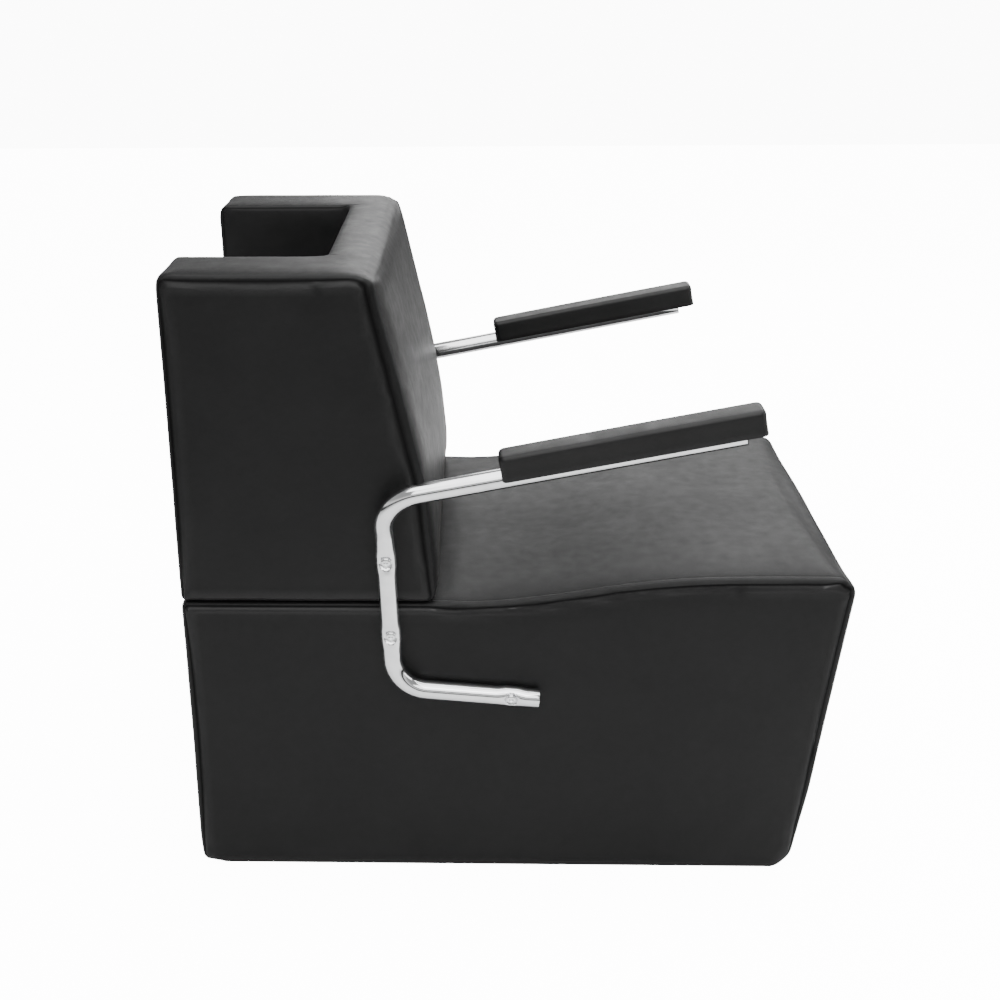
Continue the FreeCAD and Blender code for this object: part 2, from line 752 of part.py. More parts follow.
def blend_piece(start, along, inset, rising):
    """The stretch where the tube passes from round to flat, or back."""
    sections = []
    for share in BLEND_SHARES:
        eased = share * share * (3 - 2 * share)
        squash_share = eased if rising else 1 - eased
        place = start + along * value("squash_blend") * share
        sections.append(tube_section(place, along, squash_share, inset))
    return Part.makeLoft(sections, True, False)


def flat_piece(start, along, length, inset):
    return Part.Face(tube_section(start, along, 1, inset)).extrude(along * length)


def straight_run(start, end, bolts, inset, squashed_end=False):
    """A straight stretch of tube, squashed about each bolt's distance from its start."""
    along = (end - start).normalize()
    length = (end - start).Length
    flat, blend = value("squash_flat"), value("squash_blend")
    across = 2 * (value("tube_radius") - inset)
    pieces, reached = [], 0
    for bolt in bolts:
        rise_from = bolt - flat / 2 - blend
        pieces.append(rod(start + along * reached, along, across, rise_from - reached))
        pieces.append(blend_piece(start + along * rise_from, along, inset, True))
        if squashed_end:
            reached = bolt - flat / 2
            pieces.append(flat_piece(start + along * reached, along, length - reached, inset))
            return pieces
        pieces.append(flat_piece(start + along * (bolt - flat / 2), along, flat, inset))
        pieces.append(blend_piece(start + along * (bolt + flat / 2), along, inset, False))
        reached = bolt + flat / 2 + blend
    pieces.append(rod(start + along * reached, along, across, length - reached))
    return pieces


def arm_points(extra):
    """The tube's centre line, from the hand end to the foot end, each end run on by extra."""
    def place(across, rear, height):
        return Vector(-value(across), value(rear), value(height))
    hand = place("arm_x", "-arm_front", "arm_front_z")
    corner = place("arm_x", "arm_corner_rear", "arm_corner_height")
    crank = place("foot_x", "crank_rear", "crank_height")
    foot = place("foot_x", "foot_corner_rear", "foot_corner_height")
    toe = place("foot_x", "-foot_front", "foot_end_z")
    hand = hand + (hand - corner).normalize() * extra
    toe = toe + (toe - foot).normalize() * extra
    return [hand, corner, crank, foot, toe]


def bent_bar(inset, extra):
    """The tube's outside, or its bore when inset by the wall."""
    points = arm_points(extra)
    bends = [value(name) for name in ("arm_bend_radius", "crank_radius", "foot_bend_radius")]
    upper = Vector(-value("foot_x"), value("upper_bolt_rear"), value("upper_bolt_height"))
    lower = Vector(-value("foot_x"), value("lower_bolt_rear"), value("lower_bolt_height"))
    toe_bolt = Vector(-value("foot_x"), value("foot_bolt_rear"), value("foot_bolt_height"))
    bolts_on = {2: [upper, lower], 3: [toe_bolt]}
    pieces = []
    start = points[0]
    for index in range(len(points) - 1):
        end = points[index + 1]
        along = (end - start).normalize()
        last = index == len(points) - 2
        if not last:
            leave = (points[index + 2] - end).normalize()
            turn = along.getAngle(leave)
            end = end - along * bends[index] * math.tan(turn / 2)
        bolts = [(bolt - start).Length for bolt in bolts_on.get(index, [])]
        pieces += straight_run(start, end, bolts, inset, squashed_end=last)
        if not last:
            axis = along.cross(leave).normalize()
            disc = Part.Face(Part.Wire(Part.Circle(end, along, value("tube_radius") - inset).toShape()))
            pieces.append(disc.revolve(end + axis.cross(along) * bends[index], axis, math.degrees(turn)))
            start = points[index + 1] + leave * bends[index] * math.tan(turn / 2)
    return pieces[0].multiFuse(pieces[1:])


def arm_direction():
    slope = math.radians(value("arm_slope"))
    return Vector(0, -math.cos(slope), math.sin(slope)), Vector(0, math.sin(slope), math.cos(slope))


def on_arm(forward, above):
    """A point over the arm's centre line: forward of the tube's hand end, and above the line."""
    along, up = arm_direction()
    hand = Vector(-value("arm_x"), -value("arm_front"), value("arm_front_z"))
    return hand + along * forward + up * above


def pad_screw_places():
    first = value("pad_screw_front")
    return [first, first + value("pad_screw_spacing")]


def bolt_places():
    """Where the three bolts of the right arm cross the tube, from the top one down."""
    return [(value("upper_bolt_rear"), value("upper_bolt_height")),
            (value("lower_bolt_rear"), value("lower_bolt_height")),
            (value("foot_bolt_rear"), value("foot_bolt_height"))]


def make_arm_tube():
    outside = bent_bar(0, 0)
    bore = bent_bar(value("tube_wall"), value("overrun"))
    tube = outside.cut(bore)
    side, hole, reach = value("half_width"), value("bolt_hole"), value("tube_diameter + overrun")
    drills = [rod(Vector(-side, y, z), OUTWARD, hole, reach) for y, z in bolt_places()]
    up = arm_direction()[1]
    wide = value("pad_screw_diameter + bolt_hole_clearance")
    for place in pad_screw_places():
        drills.append(rod(on_arm(-place, -value("tube_diameter")), up, wide, 2 * value("tube_diameter")))
    return tube.cut(drills)


# Arm pad, its core, screws and plug

def along_arm(forward, above):
    """The same place as sums, for a sketch in the side view."""
    return (f"-arm_front - ({forward}) * cos(arm_slope) + ({above}) * sin(arm_slope)",
            f"arm_front_z + ({forward}) * sin(arm_slope) + ({above}) * cos(arm_slope)")


def arm_block(label, front, rear, low, high, width):
    """A block that lies along the sloping arm, square to it."""
    body = new_body(label)
    corners = [along_arm(front, low), along_arm(rear, low), along_arm(rear, high), along_arm(front, high)]
    sketch = draw(body, "YZ_Plane", corners, lift="-arm_x")
    pad(body, sketch, width)
    return body


def make_arm_pad(screws):
    """A moulded pad saddled over the tube, and the wood core that its two screws bite into."""
    body = arm_block("pad_blank", "pad_overhang", "pad_overhang - pad_length",
                     "pad_under", "pad_under + pad_thickness", "pad_width")
    round_edges(body, lambda edge: True, "pad_edge_radius")
    core_rear = "pad_overhang - pad_length + pad_core_inset"
    core = arm_block("pad_core_blank", "pad_overhang - pad_core_inset", core_rear,
                     "pad_core_under", "pad_core_under + pad_core_thickness", "pad_core_width")
    along = arm_direction()[0]
    groove_length = value("pad_length")
    front = value("plug_flange + pad_groove_gap")
    groove = solid("pad_groove", rod(on_arm(front - groove_length, 0), along,
                                     value("tube_diameter + 2 * pad_groove_gap"), groove_length))
    hollow = cut("arm_pad_right", body, together([core, groove, screws]))
    return hollow, cut("arm_pad_core_right", core, screws)


def make_pad_screws():
    """Pan-head screws that pass up through the tube into the pad's core."""
    up = arm_direction()[1]
    shank, head = value("pad_screw_diameter"), value("pad_screw_head")
    thick, below = value("pad_screw_head_height"), value("tube_radius")
    length = below + value("pad_core_under + pad_screw_grip")
    parts = []
    for place in pad_screw_places():
        seat = on_arm(-place, -below)
        crown = Part.makeCone(head / 2, shank / 2, thick, seat, -up)
        parts.append(rod(seat, up, shank, length).fuse(crown))
    return Part.makeCompound(parts)


def make_tube_plug():
    along = arm_direction()[0]
    end = on_arm(0, 0)
    bore = value("tube_diameter - 2 * tube_wall - 2 * plug_gap")
    stem = rod(end - along * value("plug_length"), along, bore, value("plug_length"))
    flange = rod(end, along, value("tube_diameter"), value("plug_flange"))
    return stem.fuse(flange).removeSplitter()


# Turned fasteners, each drawn once about its own axis and then set in place

def turned(label, corners, arcs=None):
    """A body of revolution about its own Z axis."""
    body = new_body(label)
    sketch = draw(body, "XZ_Plane", corners, arcs)
    feature = body.newObject("PartDesign::Revolution", "Turning")
    feature.Profile = sketch
    feature.ReferenceAxis = (sketch, ["V_Axis"])
    doc.recompute()
    return body


def make_bolt(label, length):
    """A pan-head bolt, its head's flat underside at zero, with a cross recess."""
    shank, head = "bolt_diameter / 2", "bolt_head_diameter / 2"
    corners = [("0", f"-({length})"), (shank, f"-({length})"), (shank, "0"), (head, "0"),
               (head, "bolt_head_edge"), ("0", "bolt_head_height")]
    body = turned(label, corners, {4: ("dome_radius", False)})
    long, wide = "recess_span / 2", "recess_width / 2"
    cross = [(long, f"-{wide}"), (long, wide), (wide, wide), (wide, long),
             (f"-{wide}", long), (f"-{wide}", wide), (f"-{long}", wide), (f"-{long}", f"-{wide}"),
             (f"-{wide}", f"-{wide}"), (f"-{wide}", f"-{long}"), (wide, f"-{long}"), (wide, f"-{wide}")]
    pocket(body, draw(body, "XY_Plane", cross, lift="bolt_head_height"), "recess_depth")
    return body


def make_tee_nut():
    """A flange that bears on the board's inside, with a barrel in the board."""
    bore, barrel = "bolt_diameter / 2 + fastener_clearance", "nut_barrel_diameter / 2"
    flange = "nut_flange_diameter / 2"
    return turned("tee_nut", [
        (bore, "-nut_barrel_length"), (barrel, "-nut_barrel_length"), (barrel, "0"), (flange, "0"),
        (flange, "nut_flange_thickness"), (bore, "nut_flange_thickness")])


def make_glide():
    """A domed floor glide with its nail: the dome's flat stands on the floor."""
    nail, flat, wide = "nail_diameter / 2", "glide_flat / 2", "glide_diameter / 2"
    return turned("glide", [("0", "0"), (flat, "0"), (wide, "glide_height / 2"), (wide, "glide_height"),
                            (nail, "glide_height"), (nail, "glide_height + nail_length"),
                            ("0", "glide_height + nail_length")])


def make_deck_screw():
    """A countersunk screw, its head flush at zero."""
    shank, head = "deck_screw_diameter / 2", "deck_screw_head / 2"
    return turned("deck_screw", [("0", "-deck_screw_length"), (shank, "-deck_screw_length"),
                                 (shank, "-deck_screw_head_height"), (head, "0"), ("0", "0")])


def make_washer():
    hole, rim = "bolt_hole / 2", "washer_diameter / 2"
    corners = [(hole, "-washer_thickness"), (rim, "-washer_thickness"), (rim, "0"), (hole, "0")]
    return turned("washer", corners)


def copies(master, spots):
    """One copy of a turned piece at each spot, its axis turned to point the given way."""
    doc.recompute()
    shapes = []
    for spot, direction in spots:
        shape = master.Shape.copy()
        shape.Placement = FreeCAD.Placement(spot, FreeCAD.Rotation(UP, direction))
        shapes.append(shape)
    return Part.makeCompound(shapes)


def both(shape):
    return Part.makeCompound(list(shape.Solids) + list(flip(shape).Solids))


# Assembly of the chair, sub-part by sub-part

PLACES["front_foot"] = front_at("glide_height", "0")
PLACES["glide_front"] = "front_foot + glide_inset"

nodes = []
base_core = rounded_base("base_core", "cover_thickness")
base_soft = rounded_base("base_soft_core", "(cover_thickness + soft_gap)")
back_core = rounded_back("back_core", "cover_thickness")
back_soft = rounded_back("back_soft_core", "(cover_thickness + soft_gap)")

screw_spots = []
for text in ("inner_rear - deck_screw_inset", "seat_board_rear + deck_screw_inset"):
    screw_spots.append((Vector(value("screw_x"), value(text), value("deck_height - cover_thickness")), UP))
for text in ("seat_board_rear - deck_screw_inset", "-deck_screw_inset", "nose_y + deck_screw_inset"):
    screw_spots.append((Vector(value("screw_x"), value(text), value("seat_board_height")), UP))
screws = solid("deck_screws", both(copies(make_deck_screw(), screw_spots)))
nodes += make_base_boards(base_core, screws)
nodes += make_base_rails()
nodes.append(screws)

glide_spots = [(Vector(value("glide_x"), value(text), 0), UP) for text in ("glide_rear", "glide_front")]
glides = solid("glides", both(copies(make_glide(), glide_spots)))
nodes.append(glides)
nodes.append(solid("corner_blocks", make_corner_blocks(glides)))
nodes.append(make_base_cover(base_core))
nodes.append(make_seat_foam(base_soft))

dust_blank = box("dust_blank", ("dust_cover_inset - half_width", "front_foot + dust_cover_inset",
                                "glide_height - dust_cover_thickness"),
                 ("body_width - 2 * dust_cover_inset", "rear_face - front_foot - 2 * dust_cover_inset",
                  "dust_cover_thickness"))
dust_hole = "glide_diameter + 2 * glide_clearance"
dust_holes = []
for place in ("glide_rear", "glide_front"):
    dust_holes += both_sides(upright_hole("glide_x", place, "0", dust_hole, "glide_height + overrun"))
nodes.append(cut("dust_cover", dust_blank, together(dust_holes)))

wing = make_wing(back_core)
left_wing = [mirrored(one, one.Label.replace("right", "left")) for one in wing]
nodes += wing + left_wing
bay_blank = box("bay_board_blank", ("-wing_outer_face", "board_front", "wing_foot"),
                ("2 * wing_outer_face", "back_board", "wing_top - wing_foot"))
nodes.append(common("bay_board", back_core, bay_blank))
nodes.append(make_back_cover(back_core))
nodes.append(make_back_foam(back_soft, [wing[0], left_wing[0]]))

back_bolt_spots = [(Vector(value("wing_middle"), value(text), value("deck_under - washer_thickness")), -UP)
                   for text in ("back_bolt_front", "back_bolt_rear")]
washer_spots = [(Vector(spot.x, spot.y, value("deck_under")), UP) for spot, direction in back_bolt_spots]
nut_seat = value("wing_foot + wing_rail")
nut_spots = [(Vector(spot.x, spot.y, nut_seat), UP) for spot, direction in back_bolt_spots]
back_bolt = make_bolt("back_bolt", "washer_thickness + wing_foot + wing_rail - deck_under")
tee_nut = make_tee_nut()
nodes.append(solid("back_bolts", both(copies(back_bolt, back_bolt_spots))))
nodes.append(solid("back_bolt_washers", both(copies(make_washer(), washer_spots))))
nodes.append(solid("back_tee_nuts", both(copies(tee_nut, nut_spots))))

tube = solid("arm_tube_right", make_arm_tube())
nodes += [tube, mirrored(tube, "arm_tube_left")]
pad_screws = solid("pad_screws_right", make_pad_screws())
arm_pad, pad_core = make_arm_pad(pad_screws)
plug = solid("tube_plug_right", make_tube_plug())
for piece in (arm_pad, pad_core, pad_screws, plug):
    nodes += [piece, mirrored(piece, piece.Label.replace("right", "left"))]

through_wing = make_bolt("wing_bolt", "squash_thickness + arm_gap + cover_thickness + wing_board")
through_side = make_bolt("side_bolt", "squash_thickness + arm_gap + cover_thickness + side_board")
spots = [(Vector(-value("head_seat"), y, z), OUTWARD) for y, z in bolt_places()]
arm_bolts = Part.makeCompound(copies(through_wing, spots[:1]).Solids + copies(through_side, spots[1:]).Solids)
inside = [value(text) for text in ("wing_outer_face", "side_inner", "side_inner")]
nut_places = [(Vector(-across, y, z), SIDEWAYS) for across, (y, z) in zip(inside, bolt_places())]
for piece in (solid("arm_bolts_right", arm_bolts), solid("arm_tee_nuts_right", copies(tee_nut, nut_places))):
    nodes += [piece, mirrored(piece, piece.Label.replace("right", "left"))]

doc.recompute()
for piece in doc.Objects:
    if "Invalid" in piece.State or "Error" in piece.State:
        raise ValueError("failed to build " + piece.Label)
for piece in nodes:
    if piece.Shape.isNull() or not piece.Shape.isValid() or not piece.Shape.Solids:
        raise ValueError("bad shape in " + piece.Label)

os.makedirs("parts", exist_ok=True)
for piece in nodes:
    piece.Shape.exportStep(f"parts/{piece.Label}.step")
print(len(nodes), "sub-parts written")
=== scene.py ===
# %% [markdown]
# # A box dryer chair, dressed in Blender
# The chair stands in a hair salon. It is two boxes covered in black vinyl: a base with a seat on it,
# and a U-shaped back that stands round a dryer's own body. Two bent chrome tubes carry the arm pads.
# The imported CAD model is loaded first, and every piece below is placed by its sizes, in metres.

# %% Load the frame
import math

import bpy
import numpy as np
from mathutils import Matrix, Vector, kdtree, noise


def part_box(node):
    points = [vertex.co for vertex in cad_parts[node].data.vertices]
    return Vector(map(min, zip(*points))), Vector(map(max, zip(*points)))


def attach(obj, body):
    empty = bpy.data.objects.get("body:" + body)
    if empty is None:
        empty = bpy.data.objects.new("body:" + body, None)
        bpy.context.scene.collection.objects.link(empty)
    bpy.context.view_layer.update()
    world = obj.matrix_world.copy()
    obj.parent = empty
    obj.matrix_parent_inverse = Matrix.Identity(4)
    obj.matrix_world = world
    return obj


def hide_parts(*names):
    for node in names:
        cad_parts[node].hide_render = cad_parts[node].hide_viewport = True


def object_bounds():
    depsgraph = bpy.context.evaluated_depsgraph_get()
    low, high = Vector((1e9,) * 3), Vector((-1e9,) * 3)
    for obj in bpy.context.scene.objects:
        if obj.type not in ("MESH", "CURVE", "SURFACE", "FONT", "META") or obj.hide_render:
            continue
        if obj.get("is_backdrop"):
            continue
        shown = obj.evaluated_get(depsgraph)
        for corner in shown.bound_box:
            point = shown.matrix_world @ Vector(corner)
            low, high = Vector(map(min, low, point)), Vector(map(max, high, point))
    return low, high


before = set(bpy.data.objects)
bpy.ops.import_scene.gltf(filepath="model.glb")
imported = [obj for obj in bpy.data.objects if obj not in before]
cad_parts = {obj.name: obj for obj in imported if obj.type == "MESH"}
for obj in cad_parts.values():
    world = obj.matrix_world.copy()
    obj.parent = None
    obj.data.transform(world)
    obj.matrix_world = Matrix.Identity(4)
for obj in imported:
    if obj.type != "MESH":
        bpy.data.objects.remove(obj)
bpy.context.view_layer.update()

# %% [markdown]
# ## The camera
# The camera stands at the sitter's right and a little above the arms, and it is tilted down by 21 degrees.
# It was worked out from the chair's own straight edges, and then lifted by a third of a degree about the
# chair's near side. The shift only moves the chair in the picture.

# %% Camera
def linked(name, data):
    """A new object, put into the scene."""
    thing = bpy.data.objects.new(name, data)
    bpy.context.collection.objects.link(thing)
    return thing


PITCH, YAW, ROLL = (math.radians(angle) for angle in (21.378, 1.695, -0.493))
LIFT = Matrix.Rotation(math.radians(0.3), 4, "Y")
NEAR_SIDE = Matrix.Translation((-0.287, 0, 0.42))
STANDPOINT, LENS, SHIFT = (-1.9494, 0.0491, 1.2032), 51.15, 0.0611
forward = Vector((math.cos(PITCH) * math.cos(YAW), math.cos(PITCH) * math.sin(YAW), -math.sin(PITCH)))
rightward = forward.cross(Vector((0, 0, 1))).normalized()
upward = rightward.cross(forward)
turn = Matrix.Rotation(ROLL, 3, -forward)
camera = linked("camera", bpy.data.cameras.new("camera"))
axes = Matrix((turn @ rightward, turn @ upward, -forward)).transposed()
place = Matrix.Translation(STANDPOINT) @ axes.to_4x4()
camera.matrix_world = NEAR_SIDE @ LIFT @ NEAR_SIDE.inverted() @ place
camera.data.lens, camera.data.shift_x = LENS, SHIFT
bpy.context.scene.camera = camera
print("camera looks along", [round(part, 3) for part in forward])

# %% [markdown]
# ## The room and its light
# The chair was pictured on white, under large soft lights. A broad soft light hangs over the seat, a second
# stands in front of the sitter, a third is mirrored by the tops of the vinyl, and a weak one keeps the
# near side from going fully black. Only the camera sees the room as white, so the vinyl isn't washed out.


# %% Floor, room and lights
def nothing_selected():
    if bpy.context.object and bpy.context.object.mode == "EDIT":
        bpy.ops.object.mode_set(mode="OBJECT")
    bpy.ops.object.select_all(action="DESELECT")


def soft_light(name, place, aim, width, height, power):
    lamp = linked(name, bpy.data.lights.new(name, "AREA"))
    lamp.data.shape = "RECTANGLE"
    lamp.data.size, lamp.data.size_y = width, height
    lamp.data.energy = power
    lamp.location = place
    lamp.rotation_euler = (Vector(aim) - Vector(place)).to_track_quat("-Z", "Y").to_euler()
    return lamp


nothing_selected()
bpy.ops.mesh.primitive_plane_add(size=14, location=(0, 0, 0))
floor = bpy.context.object
floor.name = "floor"
floor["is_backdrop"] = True
soft_light("ceiling", (-0.2, -0.3, 2.9), (0, 0, 0.4), 4.4, 3.0, 160)
soft_light("front", (0.3, -3.2, 1.7), (0, 0, 0.6), 2.4, 1.8, 46)
soft_light("far_side", (3.2, -0.85, 1.95), (0, -0.1, 0.5), 3.0, 1.2, 39)
soft_light("near_side", (-3.1, -0.2, 2.7), (0, 0, 0.5), 3.4, 1.9, 65)


def room_light():
    """A white room that the chair sees as dim, with a dark line at its horizon, and the camera as white."""
    room = bpy.context.scene.world or bpy.data.worlds.new("room")
    bpy.context.scene.world = room
    room.use_nodes = True
    tree = room.node_tree
    tree.nodes.clear()

    def add(kind):
        return tree.nodes.new("ShaderNode" + kind)

    seen, lit, either, sky = add("Background"), add("Background"), add("MixShader"), add("OutputWorld")
    seen.inputs["Strength"].default_value = SEEN_WHITE
    direction, parts, band = add("TexCoord"), add("SeparateXYZ"), add("ValToRGB")
    levels = band.color_ramp.elements
    while len(levels) < len(ROOM_LEVELS):
        levels.new(0.5)
    for level, (height, strength) in zip(levels, ROOM_LEVELS):
        level.position, level.color = height, (strength, strength, strength, 1)
    for here, out, there, into in (
            (direction, "Generated", parts, "Vector"), (parts, "Z", band, "Fac"),
            (band, "Color", lit, "Color"), (add("LightPath"), "Is Camera Ray", either, "Fac"),
            (lit, "Background", either, 1), (seen, "Background", either, 2),
            (either, "Shader", sky, "Surface")):
        tree.links.new(here.outputs[out], there.inputs[into])


SEEN_WHITE = 14.0
ROOM_LEVELS = ((0.0, 0.03), (0.06, 0.05), (0.12, 0.95), (0.24, 0.85), (0.34, 0.42), (0.9, 0.4))
room_light()

# %% [markdown]
# ## Finishes
# Each finish is a small node tree. A helper adds a node, sets its sockets and links what is handed to it,
# so a finish reads as a short recipe. Patterns use Object coordinates, which are metres on the chair.


# %% A helper for node trees
class Finish:
    """A material with a Principled shader, and short ways to add nodes to it."""

    def __init__(self, name, **sockets):
        self.material = bpy.data.materials.new(name)
        self.material.use_nodes = True
        self.tree = self.material.node_tree
        self.shader = self.tree.nodes["Principled BSDF"]
        for socket, number in sockets.items():
            self.shader.inputs[socket.replace("_", " ")].default_value = number
        self.place = self.tree.nodes.new("ShaderNodeTexCoord").outputs["Object"]

    def add(self, kind, settings=None, **sockets):
        node = self.tree.nodes.new("ShaderNode" + kind)
        for setting, choice in (settings or {}).items():
            setattr(node, setting, choice)
        for socket, given in sockets.items():
            target = node.inputs[socket.replace("_", " ")]
            if isinstance(given, bpy.types.NodeSocket):
                self.tree.links.new(given, target)
            else:
                target.default_value = given
        return node

    def noise(self, scale, detail=3.0, roughness=0.5, at=None, stretch=None):
        at = at or self.place
        if stretch:
            at = self.add("Mapping", Vector=at, Scale=stretch).outputs["Vector"]
        node = self.add("TexNoise", Vector=at, Scale=scale, Detail=detail, Roughness=roughness)
        return node.outputs["Fac"]

    def cells(self, scale, feature="F1"):
        node = self.add("TexVoronoi", {"feature": feature}, Vector=self.place, Scale=scale)
        return node.outputs["Distance"]

    def span(self, value, low, high, out_low, out_high):
        node = self.add("MapRange", Value=value)
        for index, number in enumerate((low, high, out_low, out_high), start=1):
            node.inputs[index].default_value = number
        return node.outputs["Result"]

    def ramp(self, value, *stops):
        node = self.add("ValToRGB", Fac=value)
        band = node.color_ramp.elements
        while len(band) < len(stops):
            band.new(0.5)
        for element, (spot, colour) in zip(band, stops):
            element.position = spot
            element.color = (*colour, 1)
        return node.outputs["Color"]

    def math(self, operation, one, two):
        node = self.add("Math", {"operation": operation})
        for socket, given in zip(node.inputs, (one, two)):
            if isinstance(given, bpy.types.NodeSocket):
                self.tree.links.new(given, socket)
            else:
                socket.default_value = given
        return node.outputs["Value"]

    def bump(self, height, strength, depth, under=None):
        node = self.add("Bump", Height=height, Strength=strength, Distance=depth)
        if under:
            self.tree.links.new(under, node.inputs["Normal"])
        return node.outputs["Normal"]

    def wear(self, **sockets):
        for socket, given in sockets.items():
            self.tree.links.new(given, self.shader.inputs[socket.replace("_", " ")])
        return self.material


def grey(level):
    return (level, level, level)


def plain(name, tones, tone_noise, shine, shine_noise, relief, relief_noise, **sockets):
    """A finish whose tone, roughness and relief each come from one noise of (scale, detail)."""
    finish = Finish(name, **sockets)
    return finish.wear(
        Base_Color=finish.ramp(finish.noise(*tone_noise), *tones),
        Roughness=finish.span(finish.noise(*shine_noise), 0.3, 0.7, *shine),
        Normal=finish.bump(finish.noise(*relief_noise), *relief))


# %% [markdown]
# ### Black vinyl
# Upholstery vinyl has a fine pressed grain of cells about a millimetre wide, and it shines softly. Hands
# and cleaning polish it in patches, so the roughness wanders over a few centimetres.

# %% Black vinyl
vinyl = Finish("black_vinyl", Sheen_Weight=0.015, Sheen_Roughness=0.4)
# Painted shade: along each seam the vinyl's reflection is turned down from 0.19 to 0.01, so the seam line
# looks dark.
sewn = vinyl.span(vinyl.add("Attribute", {"attribute_name": "seam"}).outputs["Fac"], 0.0, 1.0, 0.19, 0.01)
# Painted highlight: the vinyl reflects more on the soft roll below each seam, most where the roll faces up.
painted_roll_highlight = vinyl.add("Attribute", {"attribute_name": "roll"}).outputs["Fac"]
patches = vinyl.noise(9, 4, 0.6)
pores = vinyl.cells(950, "DISTANCE_TO_EDGE")
grain = vinyl.math("ADD", vinyl.span(pores, 0.0, 0.12, 0.0, 1.0), vinyl.noise(2600, 2))
creases = vinyl.noise(26, 5, 0.6)
grain_bump = vinyl.bump(grain, 0.16, 0.00025)
black_vinyl = vinyl.wear(
    Base_Color=vinyl.ramp(patches, (0.3, (0.0035, 0.0035, 0.0036)), (0.72, (0.006, 0.006, 0.0061))),
    Specular_IOR_Level=vinyl.math("ADD", sewn, vinyl.math("MULTIPLY", painted_roll_highlight, 0.34)),
    Roughness=vinyl.span(vinyl.math("ADD", patches, vinyl.noise(60, 3)), 0.7, 1.3, 0.36, 0.47),
    Normal=vinyl.bump(creases, 0.07, 0.0035, grain_bump))

# %% [markdown]
# ### Chrome
# Bright chrome is a mirror with a little haze, fine rubbing marks along the tube and a trace of dust.

# %% Chrome
plate = Finish("chrome", Metallic=1.0)
haze = plate.noise(45, 4)
rubbed = plate.noise(900, 2, stretch=(1, 0.05, 0.05))
chrome = plate.wear(
    Base_Color=plate.ramp(haze, (0.3, (0.74, 0.745, 0.755)), (0.7, (0.86, 0.865, 0.87))),
    Roughness=plate.span(plate.math("MULTIPLY", haze, rubbed), 0.1, 0.5, 0.07, 0.16),
    Normal=plate.bump(rubbed, 0.05, 0.0002))

# %% [markdown]
# ### Moulded pads, thread, plastic and steel
# The pads are moulded urethane with a finer and duller grain than the vinyl. The thread is bonded
# polyester. Zinc-plated parts have a faint blotchy spangle.

# %% Pads, thread, plastic and steel
skin = Finish("arm_pad_skin", Specular_IOR_Level=0.28)
pebble = skin.math("ADD", skin.cells(1300), skin.noise(1900, 2))
arm_pad_skin = skin.wear(
    Base_Color=skin.ramp(skin.noise(14, 3), (0.3, grey(0.003)), (0.75, grey(0.006))),
    Roughness=skin.span(skin.noise(30, 4), 0.3, 0.7, 0.4, 0.52),
    Normal=skin.bump(pebble, 0.2, 0.0002))
black_thread = plain(
    "black_thread", ((0.3, grey(0.003)), (0.7, grey(0.008))), (2500, 2), (0.45, 0.65), (800, 2),
    (0.4, 0.0002), (3500, 1), Specular_IOR_Level=0.08)
black_plastic = plain(
    "black_plastic", ((0.3, grey(0.012)), (0.7, grey(0.022))), (60, 3), (0.35, 0.5), (200, 3),
    (0.1, 0.0002), (1500, 2), Specular_IOR_Level=0.5)
glide_nylon = plain(
    "glide_nylon", ((0.3, (0.42, 0.40, 0.36)), (0.7, (0.6, 0.58, 0.53))), (90, 4), (0.4, 0.6), (300, 3),
    (0.2, 0.0003), (700, 3), Specular_IOR_Level=0.5, Subsurface_Weight=0.1)
zinc = Finish("zinc_steel", Metallic=1.0)
spangle = zinc.cells(160)
zinc_steel = zinc.wear(
    Base_Color=zinc.ramp(spangle, (0.2, (0.44, 0.44, 0.42)), (0.8, (0.58, 0.575, 0.55))),
    Roughness=zinc.span(spangle, 0.0, 0.8, 0.28, 0.42),
    Normal=zinc.bump(zinc.noise(1200, 2), 0.12, 0.0002))

# %% [markdown]
# ### What is inside: foam, plywood and the dust cloth
# These are seen only from below or when the covers are off, and they are finished all the same.

# %% Foam, plywood and dust cloth
sponge = Finish("seat_foam", Specular_IOR_Level=0.2, Subsurface_Weight=0.15)
open_cells = sponge.cells(700)
foam = sponge.wear(
    Base_Color=sponge.ramp(sponge.noise(25, 4), (0.3, (0.62, 0.56, 0.4)), (0.75, (0.74, 0.69, 0.53))),
    Roughness=sponge.span(open_cells, 0.0, 0.8, 0.8, 1.0),
    Normal=sponge.bump(open_cells, 0.6, 0.0008))
board = Finish("plywood", Specular_IOR_Level=0.35)
figure = board.noise(30, 5, 0.55, stretch=(1, 0.08, 1))
plies = board.add("TexWave", {"bands_direction": "Z"}, Vector=board.place, Scale=120.0, Distortion=1.5)
wood = board.math("ADD", figure, board.math("MULTIPLY", plies.outputs["Fac"], 0.15))
plywood = board.wear(
    Base_Color=board.ramp(
        wood, (0.35, (0.47, 0.31, 0.17)), (0.6, (0.62, 0.45, 0.27)), (0.85, (0.7, 0.54, 0.35))),
    Roughness=board.span(figure, 0.3, 0.7, 0.55, 0.75),
    Normal=board.bump(wood, 0.25, 0.0005))
felt = Finish("dust_fabric", Specular_IOR_Level=0.2, Sheen_Weight=0.3)
fibres = felt.noise(900, 4, 0.7, stretch=(1, 0.2, 1))
dust_fabric = felt.wear(
    Base_Color=felt.ramp(fibres, (0.35, grey(0.008)), (0.7, grey(0.03))),
    Roughness=felt.span(fibres, 0.3, 0.7, 0.8, 0.95),
    Normal=felt.bump(fibres, 0.5, 0.0004))
plaster = Finish("floor_paint", Specular_IOR_Level=0.2)
seen = plaster.add("LightPath").outputs["Is Camera Ray"]
plaster.shader.inputs["Emission Color"].default_value = (1, 1, 1, 1)
